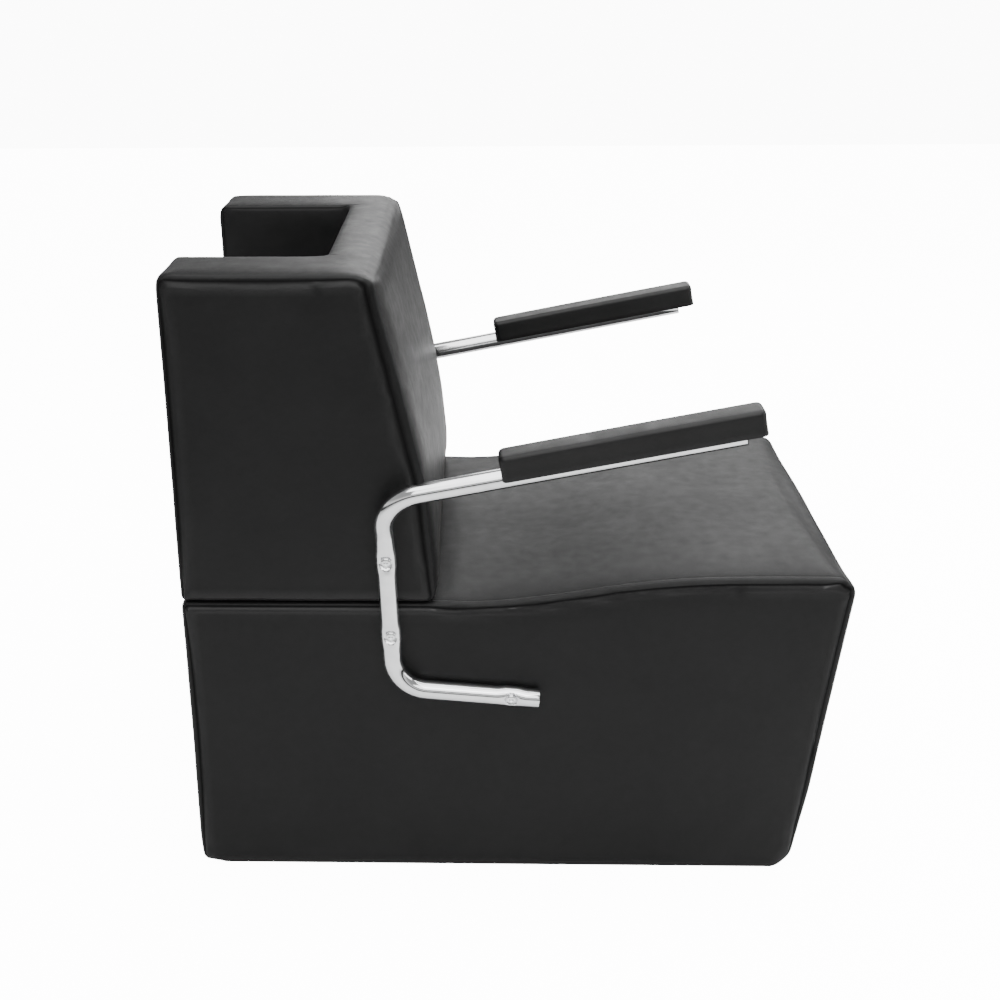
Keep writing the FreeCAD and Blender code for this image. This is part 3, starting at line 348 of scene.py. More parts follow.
floor_paint = plaster.wear(
    Emission_Strength=plaster.math("MULTIPLY", seen, SEEN_WHITE - 1.2),
    Base_Color=plaster.ramp(plaster.noise(3, 4), (0.3, grey(0.86)), (0.7, grey(0.9))),
    Roughness=plaster.span(plaster.noise(20, 3), 0.3, 0.7, 0.6, 0.75),
    Normal=plaster.bump(plaster.noise(120, 3), 0.04, 0.0005))
floor.data.materials.append(floor_paint)
print("finishes:", len(bpy.data.materials))

# %% [markdown]
# ### Finishes for the CAD pieces that stay
# Boards, rails and hidden fasteners keep their CAD shape. They only change their material.

# %% Finishes on the CAD pieces
FINISH_BY_WORD = (
    ("tee_nuts", zinc_steel), ("washers", zinc_steel), ("screws", zinc_steel), ("back_bolts", zinc_steel),
    ("arm_bolts", chrome), ("arm_tube", chrome), ("plug", black_plastic), ("glides", glide_nylon),
    ("foam", foam), ("dust", dust_fabric), ("cover", black_vinyl), ("core", plywood),
    ("arm_pad_", arm_pad_skin))


def finish_for(node):
    """The finish of the first word that a node's name has. All the rest is plywood."""
    return next((finish for word, finish in FINISH_BY_WORD if word in node), plywood)


for node_name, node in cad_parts.items():
    node.data.materials.clear()
    node.data.materials.append(finish_for(node_name))
print("CAD pieces given a finish:", len(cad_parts))

# %% [markdown]
# ## Helpers for modelling
# An operator acts on all that is selected, so each helper first clears the selection. Edges and faces are
# then picked in code, by where they are, as a modeller would click them. The helpers that measure points
# and move them work on all the points of a piece at once.


# %% Modelling helpers
def only(piece):
    """Select one piece, and make it the active one."""
    nothing_selected()
    bpy.context.view_layer.objects.active = piece
    piece.select_set(True)
    return piece


def applied(name=None):
    """Apply the place of the new piece to its mesh, and hand the piece over."""
    bpy.ops.object.transform_apply(location=True, rotation=True, scale=True)
    bpy.context.object.name = name or bpy.context.object.name
    return bpy.context.object


def everything():
    bpy.ops.mesh.select_all(action="SELECT")


def edit(piece, mode="VERT"):
    only(piece)
    bpy.ops.object.mode_set(mode="EDIT")
    bpy.ops.mesh.select_mode(type=mode)
    bpy.ops.mesh.select_all(action="DESELECT")


def done(piece):
    bpy.ops.object.mode_set(mode="OBJECT")
    bpy.ops.object.transform_apply(location=True, rotation=True, scale=True)
    return piece


def pick(piece, kind, test):
    """Select what the test picks. An edge is tested by its two ends, a face by its middle and normal."""
    bpy.ops.mesh.select_all(action="DESELECT")
    bpy.ops.object.mode_set(mode="OBJECT")
    mesh = piece.data
    points = [vertex.co.copy() for vertex in mesh.vertices]
    count = 0
    for one in getattr(mesh, {"VERT": "vertices", "EDGE": "edges", "FACE": "polygons"}[kind]):
        if kind == "VERT":
            chosen = test(one.co)
        elif kind == "EDGE":
            chosen = test(points[one.vertices[0]], points[one.vertices[1]])
        else:
            chosen = test(one.center, one.normal)
        one.select = bool(chosen)
        count += bool(chosen)
    bpy.ops.object.mode_set(mode="EDIT")
    bpy.ops.mesh.select_mode(type=kind)
    return count


def extrude(step):
    bpy.ops.mesh.extrude_region_move(TRANSFORM_OT_translate={"value": step})


def draw(name, places):
    """Draw a line in edit mode, each point extruded from the last, and leave all of it selected."""
    nothing_selected()
    bpy.ops.mesh.primitive_plane_add(size=0.001, location=places[0])
    piece = applied(name)
    edit(piece)
    everything()
    bpy.ops.mesh.merge(type="CENTER")
    for here, there in zip(places, places[1:]):
        extrude(Vector(there) - Vector(here))
    everything()
    return piece


def trace(name, outline, start, width):
    """Draw a closed outline in the side view, fill it, and extrude it across the chair."""
    piece = draw(name, [(start, *spot) for spot in outline])
    bpy.ops.mesh.edge_face_add()
    extrude((width, 0, 0))
    everything()
    bpy.ops.mesh.normals_make_consistent(inside=False)
    return done(piece)


def combine(piece, tool, operation="DIFFERENCE", solver="EXACT"):
    """Cut a closed tool out of a piece, or join it on, and throw the tool away."""
    cutting = piece.modifiers.new("combine", "BOOLEAN")
    cutting.operation, cutting.solver, cutting.object = operation, solver, tool
    only(piece)
    bpy.ops.object.modifier_apply(modifier=cutting.name)
    bpy.data.objects.remove(tool)
    return piece


def block(place, size, **turned_by):
    nothing_selected()
    bpy.ops.mesh.primitive_cube_add(size=1, location=place, scale=size, **turned_by)
    return applied()


def near(one, two):
    return abs(one - two) < 0.0004


def round_edges(piece, test, length, segments):
    """Bevel the edges that a test picks, and count them."""
    edit(piece, "EDGE")
    found = pick(piece, "EDGE", test)
    bpy.ops.mesh.bevel(offset=length, segments=segments, affect="EDGES", clamp_overlap=False)
    done(piece)
    return found


def round_corners(piece, *corners):
    """Bevel the edges that run across the chair at some places in the side view."""
    for y, z, length, segments in corners:
        round_edges(piece, lambda a, b: near(a.y, y) and near(a.z, z) and near(b.y, y) and near(b.z, z),
                    length, segments)


def cut_across(piece, axis, places):
    """Cut loops round a piece, square to one axis."""
    edit(piece)
    for place in places:
        spot, normal = [0, 0, 0], [0, 0, 0]
        spot[axis], normal[axis] = place, 1
        everything()
        bpy.ops.mesh.bisect(plane_co=spot, plane_no=normal)
    done(piece)


def cut_grid(piece, *ways):
    """Cut a piece into a grid. Each way is an axis, where its cuts start and end, and their distance."""
    for axis, low, high, size in ways:
        count = max(1, round((high - low) / size))
        cut_across(piece, axis, [low + (high - low) * step / count for step in range(1, count)])


def points_of(piece):
    spots = np.empty(len(piece.data.vertices) * 3)
    piece.data.vertices.foreach_get("co", spots)
    return spots.reshape(-1, 3)


def normals_of(piece):
    normals = np.empty(len(piece.data.vertices) * 3)
    piece.data.vertex_normals.foreach_get("vector", normals)
    return normals.reshape(-1, 3)


def move_points(piece, spots):
    piece.data.vertices.foreach_set("co", spots.ravel())
    piece.data.update()


def copy_of(piece, name):
    other = piece.copy()
    other.data = piece.data.copy()
    other.name = name
    bpy.context.collection.objects.link(other)
    return other


def dress(piece, finish, slot, *nodes):
    """Give a piece its finish and the CAD nodes that it stands for, which are hidden. The slot is not used.
    """
    piece.data.materials.clear()
    piece.data.materials.append(finish)
    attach(piece, "root")
    if nodes:
        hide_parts(*nodes)
    return piece


def joined(pieces, name):
    """Make one piece of several copies."""
    nothing_selected()
    for piece in pieces:
        piece.select_set(True)
    bpy.context.view_layer.objects.active = pieces[0]
    bpy.ops.object.join()
    return applied(name)


print("helpers are ready")

# %% [markdown]
# ## The two covers
# Both units are plywood boxes under thin foam and vinyl. Each cover is sewn from a side panel, a strip that
# runs over the front and top, and another side panel, with a seam on each rounded shoulder. The outline is
# drawn in the side view and extruded, the corners are bevelled, and a grid of cuts gives the cloth room
# to move. Then air pressure swells the panels while the seams hold them, as foam does under tight vinyl.

# %% Sizes of the covers
HALF = 0.287
SEAT_SEAM = 0.2838
BACK_SEAM = 0.2832
BAY_SEAM = 0.1775
SEAT_STITCH = 0.2725
REAR = 0.436
BOTTOM = 0.003
DECK = 0.407
SEAT = 0.446
TOP = 0.840
FRONT_LEAN = math.radians(6.6)
NOSE = 0.020


def lean_at(height):
    """Where the base's leaning front stands at a height."""
    drop = (SEAT - NOSE - height) * math.sin(FRONT_LEAN)
    return NOSE - REAR - (NOSE - drop) / math.cos(FRONT_LEAN)


def seat_curve(steps):
    """The seat's S-curve, from the deck up to the level front, as two equal arcs."""
    run, rise = 0.420, SEAT - DECK
    radius = (run ** 2 + rise ** 2) / (4 * rise)
    angle = 2 * math.atan(rise / run)
    low, high = [], []
    for step in range(steps + 1):
        share = angle * step / steps
        low.append((0.120 - radius * math.sin(share), DECK + radius * (1 - math.cos(share))))
        high.append((-0.300 + radius * math.sin(share), SEAT - radius * (1 - math.cos(share))))
    return low[:-1] + high[::-1]


base_outline = [(lean_at(BOTTOM), BOTTOM), (REAR, BOTTOM), (REAR, DECK)]
base_outline += seat_curve(7) + [(lean_at(SEAT), SEAT)]
print("the seat rises", round(SEAT - DECK, 3), "m over", len(base_outline), "points")


# %% Shell of the base
def on_side(a, b):
    return near(abs(a.x), HALF) and near(a.x, b.x)


base = trace("seat_unit_cover", base_outline, -HALF, 2 * HALF)
round_corners(base, (lean_at(SEAT), SEAT, 0.028, 7), (lean_at(BOTTOM), BOTTOM, 0.029, 6),
              (REAR, BOTTOM, 0.012, 4), (REAR, DECK, 0.010, 4))
round_edges(base, on_side, 0.011, 5)
cut_grid(base, (0, -0.275, 0.275, 0.012), (1, -0.415, 0.424, 0.0115), (2, 0.026, 0.436, 0.0115))
print("base shell:", len(base.data.polygons), "faces")

# %% Shell of the back unit
HEEL_Y, HEEL_Z, HEEL = 0.123, 0.4323, 0.025
BACK_FOOT = 0.4073
FOOT_LEAN, BACK_LEAN = math.radians(5.5), math.radians(13.3)
BEND_Z = 0.570
BEND_Y = HEEL_Y - HEEL / math.cos(FOOT_LEAN) + (BEND_Z - HEEL_Z) * math.tan(FOOT_LEAN)
FACE_FOOT = BEND_Y - (BEND_Z - BACK_FOOT) * math.tan(FOOT_LEAN)
FACE_TOP = BEND_Y + (TOP - BEND_Z) * math.tan(BACK_LEAN)
BAY_HALF, BAY_FRONT = 0.175, 0.242
back_outline = [(FACE_FOOT, BACK_FOOT), (REAR, BACK_FOOT), (REAR, TOP), (FACE_TOP, TOP), (BEND_Y, BEND_Z)]
back = trace("back_unit_cover", back_outline, -HALF, 2 * HALF)
round_corners(back, (FACE_FOOT, BACK_FOOT, 0.0227, 6), (REAR, BACK_FOOT, 0.008, 3),
              (REAR, TOP, 0.008, 3), (FACE_TOP, TOP, 0.0180, 6), (BEND_Y, BEND_Z, 0.031, 5))
print("back outline top at", round(FACE_TOP, 4))


# %% Bay of the back unit
bay = block((0, BAY_FRONT + 0.2, 0.62), (2 * BAY_HALF, 0.4, 0.6))
edit(bay, "EDGE")
pick(bay, "EDGE", lambda a, b: near(a.y, BAY_FRONT) and near(b.y, BAY_FRONT) and near(a.x, b.x))
bpy.ops.mesh.bevel(offset=0.012, segments=3, affect="EDGES")
combine(back, done(bay))


def in_bay(spot):
    return abs(spot.x) < BAY_HALF + 0.0004 and spot.y > BAY_FRONT - 0.0004


def bay_rim(a, b):
    """An edge where a bay wall meets the outside."""
    if not (in_bay(a) and in_bay(b)):
        return False
    beside = near(abs(a.x), BAY_HALF) and near(abs(b.x), BAY_HALF)
    across = near(a.y, BAY_FRONT) and near(b.y, BAY_FRONT)
    corner = (a - b).length < 0.008
    upright = near(a.x, b.x) and near(a.y, b.y) and not near(a.y, REAR)
    return (beside or across or corner) and not upright


rims = round_edges(back, lambda a, b: on_side(a, b) or bay_rim(a, b), 0.0078, 4)
cut_grid(back, (0, -0.279, 0.279, 0.0098), (1, 0.104, 0.430, 0.0098), (2, 0.418, 0.832, 0.0098))
print("back shell:", len(back.data.polygons), "faces,", rims, "rim edges rounded")

# %% [markdown]
# The photo's back has fuller corners than a plain bevel gives: the foam rolls over by 3 cm where the face
# meets the sides and the crown, and by half of that at the sides and the rear. Points that lie outside
# that rounded body are drawn in towards its middle until they lie on it.

# %% Roll the corners of the back
ROLL_SIDE, ROLL_FACE, ROLL_TOP, ROLL_REAR = 0.0125, 0.030, 0.016, 0.012


def face_at(height):
    """Where the face stands at a height, and the cosine of its lean."""
    lean = np.where(height > BEND_Z, BACK_LEAN, FOOT_LEAN)
    return BEND_Y + (height - BEND_Z) * np.tan(lean), np.cos(lean)


spots = points_of(back)
x, y, z = spots.T
face, slant = face_at(z)
behind = (y - face) * slant
from_side = np.clip(1 - (HALF - np.abs(x)) / ROLL_SIDE, 0, None)
from_face = np.clip(1 - behind / ROLL_FACE, 0, None)
from_rear = np.clip(1 - (REAR - y) / ROLL_REAR, 0, None)
from_top = np.clip(1 - (TOP - z) / ROLL_TOP, 0, None)
size = np.maximum(1, np.sqrt(from_side ** 2 + np.maximum(from_face, from_rear) ** 2 + from_top ** 2))
x = np.where(from_side > 0, np.sign(x) * (HALF - ROLL_SIDE * (1 - from_side / size)), x)
z = np.where(from_top > 0, TOP - ROLL_TOP * (1 - from_top / size), z)
fresh, slant = face_at(z)
slid = (fresh - face) * np.minimum(1, 3 * from_face)
y = np.where(from_face > 0, y + slid + (ROLL_FACE * (1 - from_face / size) - behind) / slant, y)
y = np.where(from_rear > 0, REAR - ROLL_REAR * (1 - from_rear / size), y)
rolled = np.stack([x, y, z], axis=1)
print("corners drawn in by up to", round(float(np.linalg.norm(rolled - spots, axis=1).max()), 4))
move_points(back, rolled)

# %% [markdown]
# The boards inside have to stay clear of the vinyl at these shoulders. A copy of each shell, sunk by
# somewhat more than the cover's 4 mm, is kept for trimming them later.

# %% Keep the inner bodies
TRIM_DEPTH = 0.0062
inner_bodies = {}
for cover in (base, back):
    body = copy_of(cover, cover.name + "_inner")
    move_points(body, points_of(body) - normals_of(body) * TRIM_DEPTH)
    body.hide_render = True
    inner_bodies[cover.name] = body
print("inner bodies:", list(inner_bodies))

# %% [markdown]
# ### Swelling the covers
# The foam under each panel gives by a few millimetres. The shell first sinks by that much all over, and
# Cloth with a little pressure pushes it back out wherever no seam or board holds it. A point may only
# travel as far as the foam lets it, so the finished panel is crowned and stays inside its real size.


# %% Swelling with the cloth simulation
FRAMES = 20
CLOTH = {"vertex_group_mass": "held", "quality": 4, "mass": 0.25, "tension_stiffness": 12,
         "compression_stiffness": 12, "shear_stiffness": 4, "bending_stiffness": 0.6,
         "use_pressure": True, "uniform_pressure_force": 4}


def swell(piece, give, held):
    """Sink a shell by what its foam gives, then let air pressure fill it out again."""
    rest, normals = points_of(piece), normals_of(piece)
    depth = give(rest, normals)
    start = rest - normals * depth[:, None]
    move_points(piece, start)
    pins = piece.vertex_groups.new(name="held")
    pins.add([int(index) for index in np.flatnonzero(held(rest, normals))], 1.0, "REPLACE")
    cloth = piece.modifiers.new("cloth", "CLOTH")
    for setting, choice in CLOTH.items():
        setattr(cloth.settings, setting, choice)
    cloth.settings.effector_weights.gravity = 0
    cloth.collision_settings.use_collision = False
    for frame_number in range(1, FRAMES + 1):
        bpy.context.scene.frame_set(frame_number)
    only(piece)
    bpy.ops.object.modifier_apply(modifier=cloth.name)
    moved = points_of(piece) - start
    far = np.linalg.norm(moved, axis=1)
    reach = np.maximum(depth, 0.0002)
    kept = reach * np.tanh(far / reach) / np.maximum(far, 1e-9)
    move_points(piece, start + moved * kept[:, None])
    bpy.context.scene.frame_set(1)
    piece.vertex_groups.clear()
    return float(far.max()), float((far * kept).max())


def ease(value, low, high):
    share = np.clip((value - low) / (high - low), 0, 1)
    return share * share * (3 - 2 * share)


def by_normal(normals, across, along, up):
    """A depth for each point, mixed from one depth for each way that it may face."""
    parts = normals ** 2
    return parts[:, 0] * across + parts[:, 1] * along + parts[:, 2] * up


def base_give(spots, normals):
    on_seat = 1 - ease(spots[:, 1], 0.03, 0.11)
    up = np.where(normals[:, 2] > 0, 0.0006 + 0.0044 * on_seat, 0.0004)
    along = np.where(normals[:, 1] < 0, 0.0034, 0.0016)
    return by_normal(normals, 0.0016, along, up)


def base_held(spots, normals):
    across = np.abs(spots[:, 0])
    seam = (across > SEAT_SEAM - 0.002) & (across < SEAT_SEAM + 0.0008)
    under = spots[:, 2] < 0.012
    covered = (spots[:, 2] > DECK - 0.012) & (spots[:, 1] > 0.11)
    return seam | under | covered


def back_give(spots, normals):
    face = (normals[:, 1] < 0) & (spots[:, 1] < 0.235)
    along = np.where(face, 0.0038, 0.0012)
    return by_normal(normals, 0.0014, along, np.where(normals[:, 2] > 0, 0.0016, 0.0004))


def back_held(spots, normals):
    across = np.abs(spots[:, 0])
    seam = (across > BACK_SEAM - 0.002) & (across < BACK_SEAM + 0.001)
    rim = (across > BAY_HALF + 0.0004) & (across < 0.179) & (spots[:, 1] > 0.234)
    bay_edge = (spots[:, 1] > 0.2335) & (spots[:, 1] < BAY_FRONT - 0.0004) & (across < 0.176)
    return seam | rim | bay_edge | (spots[:, 2] < 0.417)


for piece, give, held in ((base, base_give, base_held), (back, back_give, back_held)):
    went, kept = swell(piece, give, held)
    print(piece.name, "pushed out", round(went * 1000, 1), "mm, kept", round(kept * 1000, 1), "mm")


# %% Even out the facets
def even_out(piece, repeats):
    """Smooth every point a little, so that no cut line shows as a crease."""
    edit(piece)
    everything()
    bpy.ops.mesh.vertices_smooth(factor=0.4, repeat=repeats)
    done(piece)


even_out(base, 1)
even_out(back, 2)

# %% [markdown]
# ### Filling out
# The photo's panels stand out by a few millimetres more than the boards under them: most at the seat's
# nose, less at the face, the rear and the tops. The bottom edge is folded over a board and stays crisp.

# %% Fill out the panels
HEM, CRISP = 0.011, 0.004


def fill_out(piece, fullness):
    spots, normals = points_of(piece), normals_of(piece)
    move_points(piece, spots + normals * fullness(spots, normals)[:, None])


def base_fullness(spots, normals):
    crown = 1 - np.clip(np.abs(spots[:, 0]) / SEAT_SEAM, 0, 1) ** 2
    front = (0.0048 + 0.0034 * crown * ease(spots[:, 2], 0.30, 0.42)) * ease(spots[:, 2], 0.02, 0.14)
    rear = 0.0026 * ease(spots[:, 2], 0.004, 0.05)
    top = 0.0020 * (1 - ease(spots[:, 1], 0.07, 0.11)) * np.sqrt(crown)
    along = np.where(normals[:, 1] < 0, front, rear)
    return by_normal(normals, 0.0, along, np.where(normals[:, 2] > 0, top, 0.0))


def back_fullness(spots, normals):
    low, out = spots[:, 2] < 0.425, (spots[:, 1] < 0.235) & (normals[:, 1] < 0)
    face = 0.0014 + 0.0024 * ease(spots[:, 2], 0.56, 0.70)
    rear = 0.0026 * (np.abs(spots[:, 0]) > BAY_HALF + 0.004) * (spots[:, 1] > 0.40)
    along = np.where(out, face * ease(spots[:, 2], 0.42, 0.47), np.where(normals[:, 1] > 0, rear, 0.0))
    return by_normal(normals, 0.0, along, np.where((normals[:, 2] > 0) & ~low, 0.0012, 0.0))


fill_out(base, base_fullness)
fill_out(back, back_fullness)
spots = points_of(base)
inset, height = HALF - np.abs(spots[:, 0]), spots[:, 2] - BOTTOM
hem = (inset < HEM + 0.0003) & (height < HEM + 0.0003)
angle = np.arctan2(np.clip(HEM - height, 0, None), np.clip(HEM - inset, 0, None))
share = hem * ease(spots[:, 1], -0.378, -0.356) * (1 - ease(spots[:, 1], 0.405, 0.42))
crisp = np.stack([np.sign(spots[:, 0]) * (HALF - CRISP * (1 - np.cos(angle))), spots[:, 1],
                  BOTTOM + CRISP * (1 - np.sin(angle))], axis=1)
move_points(base, spots + (crisp - spots) * share[:, None])
print("points of the crisp bottom edge:", int((share > 0.5).sum()))

# %% [markdown]
# ### Seams
# A plain seam pulls both panels down into a narrow valley, and the row of top-stitching beside it makes a
# shallower one. Loops are cut at those places, so the valleys are crisp, and the points are then sunk. An
# attribute keeps where the seam is, and turns the vinyl's reflection down there, as a painted shade.

# %% Seams of both covers
SEAM_SPREAD = (-0.0045, -0.0022, -0.0010, -0.0004, 0.0, 0.0004, 0.0009, 0.0018)
STITCH_SPREAD = (-0.003, -0.0012, 0.0, 0.0012, 0.003)


def valley(distance, depth, width):
    return depth * np.exp(-(distance / width) ** 2)


def sew(piece, places, within):
    """Sink a seam at each distance from the middle, where within gives 1, and a stitched row beside it."""
    cuts = []
    for place, row, depth in places:
        cuts += [place + step for step in SEAM_SPREAD]
        cuts += [row + step for step in STITCH_SPREAD] if row else []
    cut_across(piece, 0, sorted(cuts + [-cut for cut in cuts]))
    spots, normals = points_of(piece), normals_of(piece)
    facing = 1 - np.abs(normals[:, 0]) ** 6
    sunk, painted_seam_shade = np.zeros(len(spots)), np.zeros(len(spots))
    across = np.abs(spots[:, 0])
    for (place, row, depth), mask in zip(places, within):
        line = valley(across - place, depth * 0.65, 0.00045) + valley(across - place, depth * 0.35, 0.0018)
        # Painted seam shade: a narrow band along each seam, kept as an attribute that dims the vinyl's
        # reflection.
        painted_seam_shade += np.exp(-((across - place) / 0.0006) ** 2) * mask(spots)
        sunk += (line + (valley(across - row, 0.0006, 0.0013) if row else 0)) * mask(spots)
    move_points(piece, spots - normals * (sunk * facing)[:, None])
    piece.data.attributes.new("seam", "FLOAT", "POINT").data.foreach_set("value", np.clip(painted_seam_shade, 0, 1))
    return len(cuts)


def everywhere(spots):
    return np.ones(len(spots))


def behind_bay(spots):
    return ease(spots[:, 1], 0.229, 0.236) * ease(spots[:, 2], 0.42, 0.44)


loops = sew(base, [(SEAT_SEAM, SEAT_STITCH, 0.0024)], [everywhere])
loops += sew(back, [(BACK_SEAM, None, 0.0024), (BAY_SEAM, None, 0.0015)], [everywhere, behind_bay])
print("cut", 2 * loops, "loops for seams")

# %% [markdown]
# ### Small unevenness
# Vinyl never lies perfectly flat. Slow waves of half a millimetre show in its highlights, and short folds
# gather where a seam goes round a corner. Both come from noise at the point's own place.

# %% Waves and gathers
GATHERS = [(-0.425, 0.43), (0.43, 0.40), (0.43, 0.835), (0.18, 0.838), (0.11, 0.43), (0.43, 0.42)]


def crumple(piece, height, seam, roll_place, roll_height):
    """Lift and sink a cover by slow noise, by folds at its corners, and by a soft roll beyond its seam, and
    keep the roll, most where it faces up, as a painted highlight.
    """
    spots, normals = points_of(piece), normals_of(piece)
    lift, stretch = np.zeros(len(spots)), np.zeros(len(spots))
    sewn = [spot for spot in spots if abs(abs(spot[0]) - seam) < 0.0003]
    tree = kdtree.KDTree(len(sewn))
    for index, spot in enumerate(sewn):
        tree.insert(spot, index)
    tree.balance()
    for index, spot in enumerate(spots):
        here = Vector(spot)
        slow = noise.noise(here * 7.0) + 0.45 * noise.noise(here * 19.0 + Vector((3.1, 0, 7.7)))
        fold = 0.0
        for y, z in GATHERS:
            away = math.hypot(here.y - y, here.z - z)
            if away < 0.07:
                angle = math.atan2(here.z - z, here.y - y)
                ripple = noise.noise(Vector((angle * 4.5, here.x * 9, y * 30)))
                fold += ripple * math.exp(-(away / 0.03) ** 2)
        if abs(here.x) > seam:
            away = tree.find(here)[2] / (1 + 0.22 * noise.noise(here * 16))
            # stretch is how near a point lies to the soft roll beyond the seam. It lifts the roll, and it
            # also paints the roll's highlight.
            stretch[index] = math.exp(-((away - roll_place) / (0.6 * roll_place)) ** 2)
        lift[index] = slow * height + fold * 0.001 + roll_height * stretch[index]
    lift *= ease(spots[:, 2], 0.004, 0.03)
    move_points(piece, spots + normals * lift[:, None])
    # Painted highlight: the roll, most where it faces up, is kept as an attribute that turns up the vinyl's
    # reflection.
    piece.data.attributes.new("roll", "FLOAT", "POINT").data.foreach_set(
        "value", stretch * np.clip(0.25 + 1.5 * normals[:, 2], 0.25, 1))
    return float(np.abs(lift).max())


for piece, *sizes in ((base, 0.0006, SEAT_SEAM, 0.0055, 0.0014),
                      (back, 0.0005, BACK_SEAM, 0.0065, 0.0017)):
    print(piece.name, "waves up to", round(crumple(piece, *sizes) * 1000, 2), "mm")

# %% [markdown]
# ### Stitches
# One stitch is modelled as a short thread with drawn-in ends. It is then copied along the loop of points
# that lies in the stitched valley, turned to follow it.

# %% Stitches
PITCH_OF_STITCHES = 0.0036
nothing_selected()
bpy.ops.mesh.primitive_cylinder_add(vertices=6, radius=0.00042, depth=0.0027, end_fill_type="TRIFAN")
stitch = bpy.context.object
cut_across(stitch, 2, (0.0008, -0.0008))
edit(stitch)
pick(stitch, "VERT", lambda spot: abs(spot.z) > 0.001)
bpy.ops.transform.translate(value=(-0.0004, 0, 0))
bpy.ops.transform.resize(value=(0.6, 0.6, 1), center_override=(-0.0004, 0, 0))
done(stitch)


def row_of_points(piece, across, keep):
    """The points of a loop that lies in one plane across the chair, in order round the piece."""
    spots, normals = points_of(piece), normals_of(piece)
    near_row = np.abs(spots[:, 0] - across) < 0.00012
    loop = spots[near_row]
    round_the_middle = np.argsort(np.arctan2(*(loop[:, [2, 1]] - loop[:, [2, 1]].mean(0)).T))
    loop, loop_normals = loop[round_the_middle], normals[near_row][round_the_middle]
    steps = np.linalg.norm(np.diff(loop, axis=0, append=loop[:1]), axis=1)
    length = np.concatenate([[0], np.cumsum(steps)])
    rows = []
    for distance in np.arange(0, length[-1], PITCH_OF_STITCHES):
        index = min(int(np.searchsorted(length, distance, side="right")) - 1, len(loop) - 1)
        following = (index + 1) % len(loop)
        share = (distance - length[index]) / max(steps[index], 1e-9)
        place = loop[index] * (1 - share) + loop[following] * share
        along = loop[following] - loop[index]
        if keep(place) and np.linalg.norm(along) > 1e-6 and np.linalg.norm(along) < 0.03:
            rows.append((Vector(place), Vector(along).normalized(), Vector(loop_normals[index])))
    return rows


def lay_stitches(name, rows):
    """Copy the stitch to each place of a row, turned along the row and half sunk, and join the copies."""
    copies = []
    for place, along, out in rows:
        side = out.cross(along).normalized()
        up = along.cross(side)
        one = copy_of(stitch, "stitch")
        one.matrix_world = Matrix.Translation(place) @ Matrix((up, side, along)).transposed().to_4x4()
        copies.append(one)
    return joined(copies, name)


def shown_on_base(place):
    return place[2] > 0.03 and not (place[2] > DECK - 0.004 and place[1] > 0.09)


for side, word in ((-1, "right"), (1, "left")):
    rows = row_of_points(base, side * SEAT_STITCH, shown_on_base)
    dress(lay_stitches("seat_unit_stitches_" + word, rows), black_thread, "black_vinyl")
    print(word, "stitches:", len(rows))
bpy.data.objects.remove(stitch)

# %% [markdown]
# ### Finishing the covers
# The facets are shaded smooth, except where two faces meet at a sharp angle, as in the seam.

# %% Finish the covers
def apply_all(piece):
    only(piece)
    for modifier in list(piece.modifiers):
        bpy.ops.object.modifier_apply(modifier=modifier.name)
    return piece


def outward(piece):
    """Merge doubles and turn every face outwards."""
    edit(piece)
    everything()
    bpy.ops.mesh.remove_doubles(threshold=0.00001)
    bpy.ops.mesh.normals_make_consistent(inside=False)
    return done(piece)


def twin(piece, name):
    """The other side's piece: a copy with its own mesh, mirrored through the chair's middle."""
    only(piece)
    bpy.ops.object.duplicate()
    bpy.context.object.scale = (-1, 1, 1)
    other = applied(name)
    edit(other)
    everything()
    bpy.ops.mesh.normals_make_consistent(inside=False)
    return done(other)


def smooth(piece, angle):
    only(piece)
    bpy.ops.object.shade_smooth_by_angle(angle=math.radians(angle))
    return piece


dress(smooth(base, 60), black_vinyl, "black_vinyl", "base_cover", "seat_foam")
dress(smooth(back, 60), black_vinyl, "black_vinyl", "back_cover", "back_foam")

# %% [markdown]
# ### Boards under the rounded shoulders
# A maker rounds over the outer edges of the boards, so that they don't cut the vinyl at its seams. Each
# board here is a merged copy of the CAD board, and a Boolean keeps what lies inside the sunk shell.

# %% Rounded boards
def rounded_board(node, cover):
    board = linked(node + "_rounded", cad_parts[node].data.copy())
    body = copy_of(inner_bodies[cover.name], "trimmer")
    combine(outward(board), body, "INTERSECT", "MANIFOLD")
    dress(smooth(board, 30), plywood, "plywood", node)
    return len(board.data.polygons)


for side in ("right", "left"):
    for part in ("wing_outer_panel_", "wing_inner_panel_", "wing_top_rail_"):
        print(part + side, "faces:", rounded_board(part + side, back))
    print("base side, faces:", rounded_board("base_side_panel_" + side, base))
print("rear deck, faces:", rounded_board("rear_deck", base))
for body in inner_bodies.values():
    bpy.data.objects.remove(body)

# %% [markdown]
# ## The arm tubes
# Each arm is one chrome tube, an inch across. It is drawn by a ring that is extruded along the straight
# runs and spun round the bends. At each bolt the ring is flattened a little, and a round dimple is pressed
# in for the bolt's head. Solidify then gives the wall, so the cut end at the bottom shows the bore.

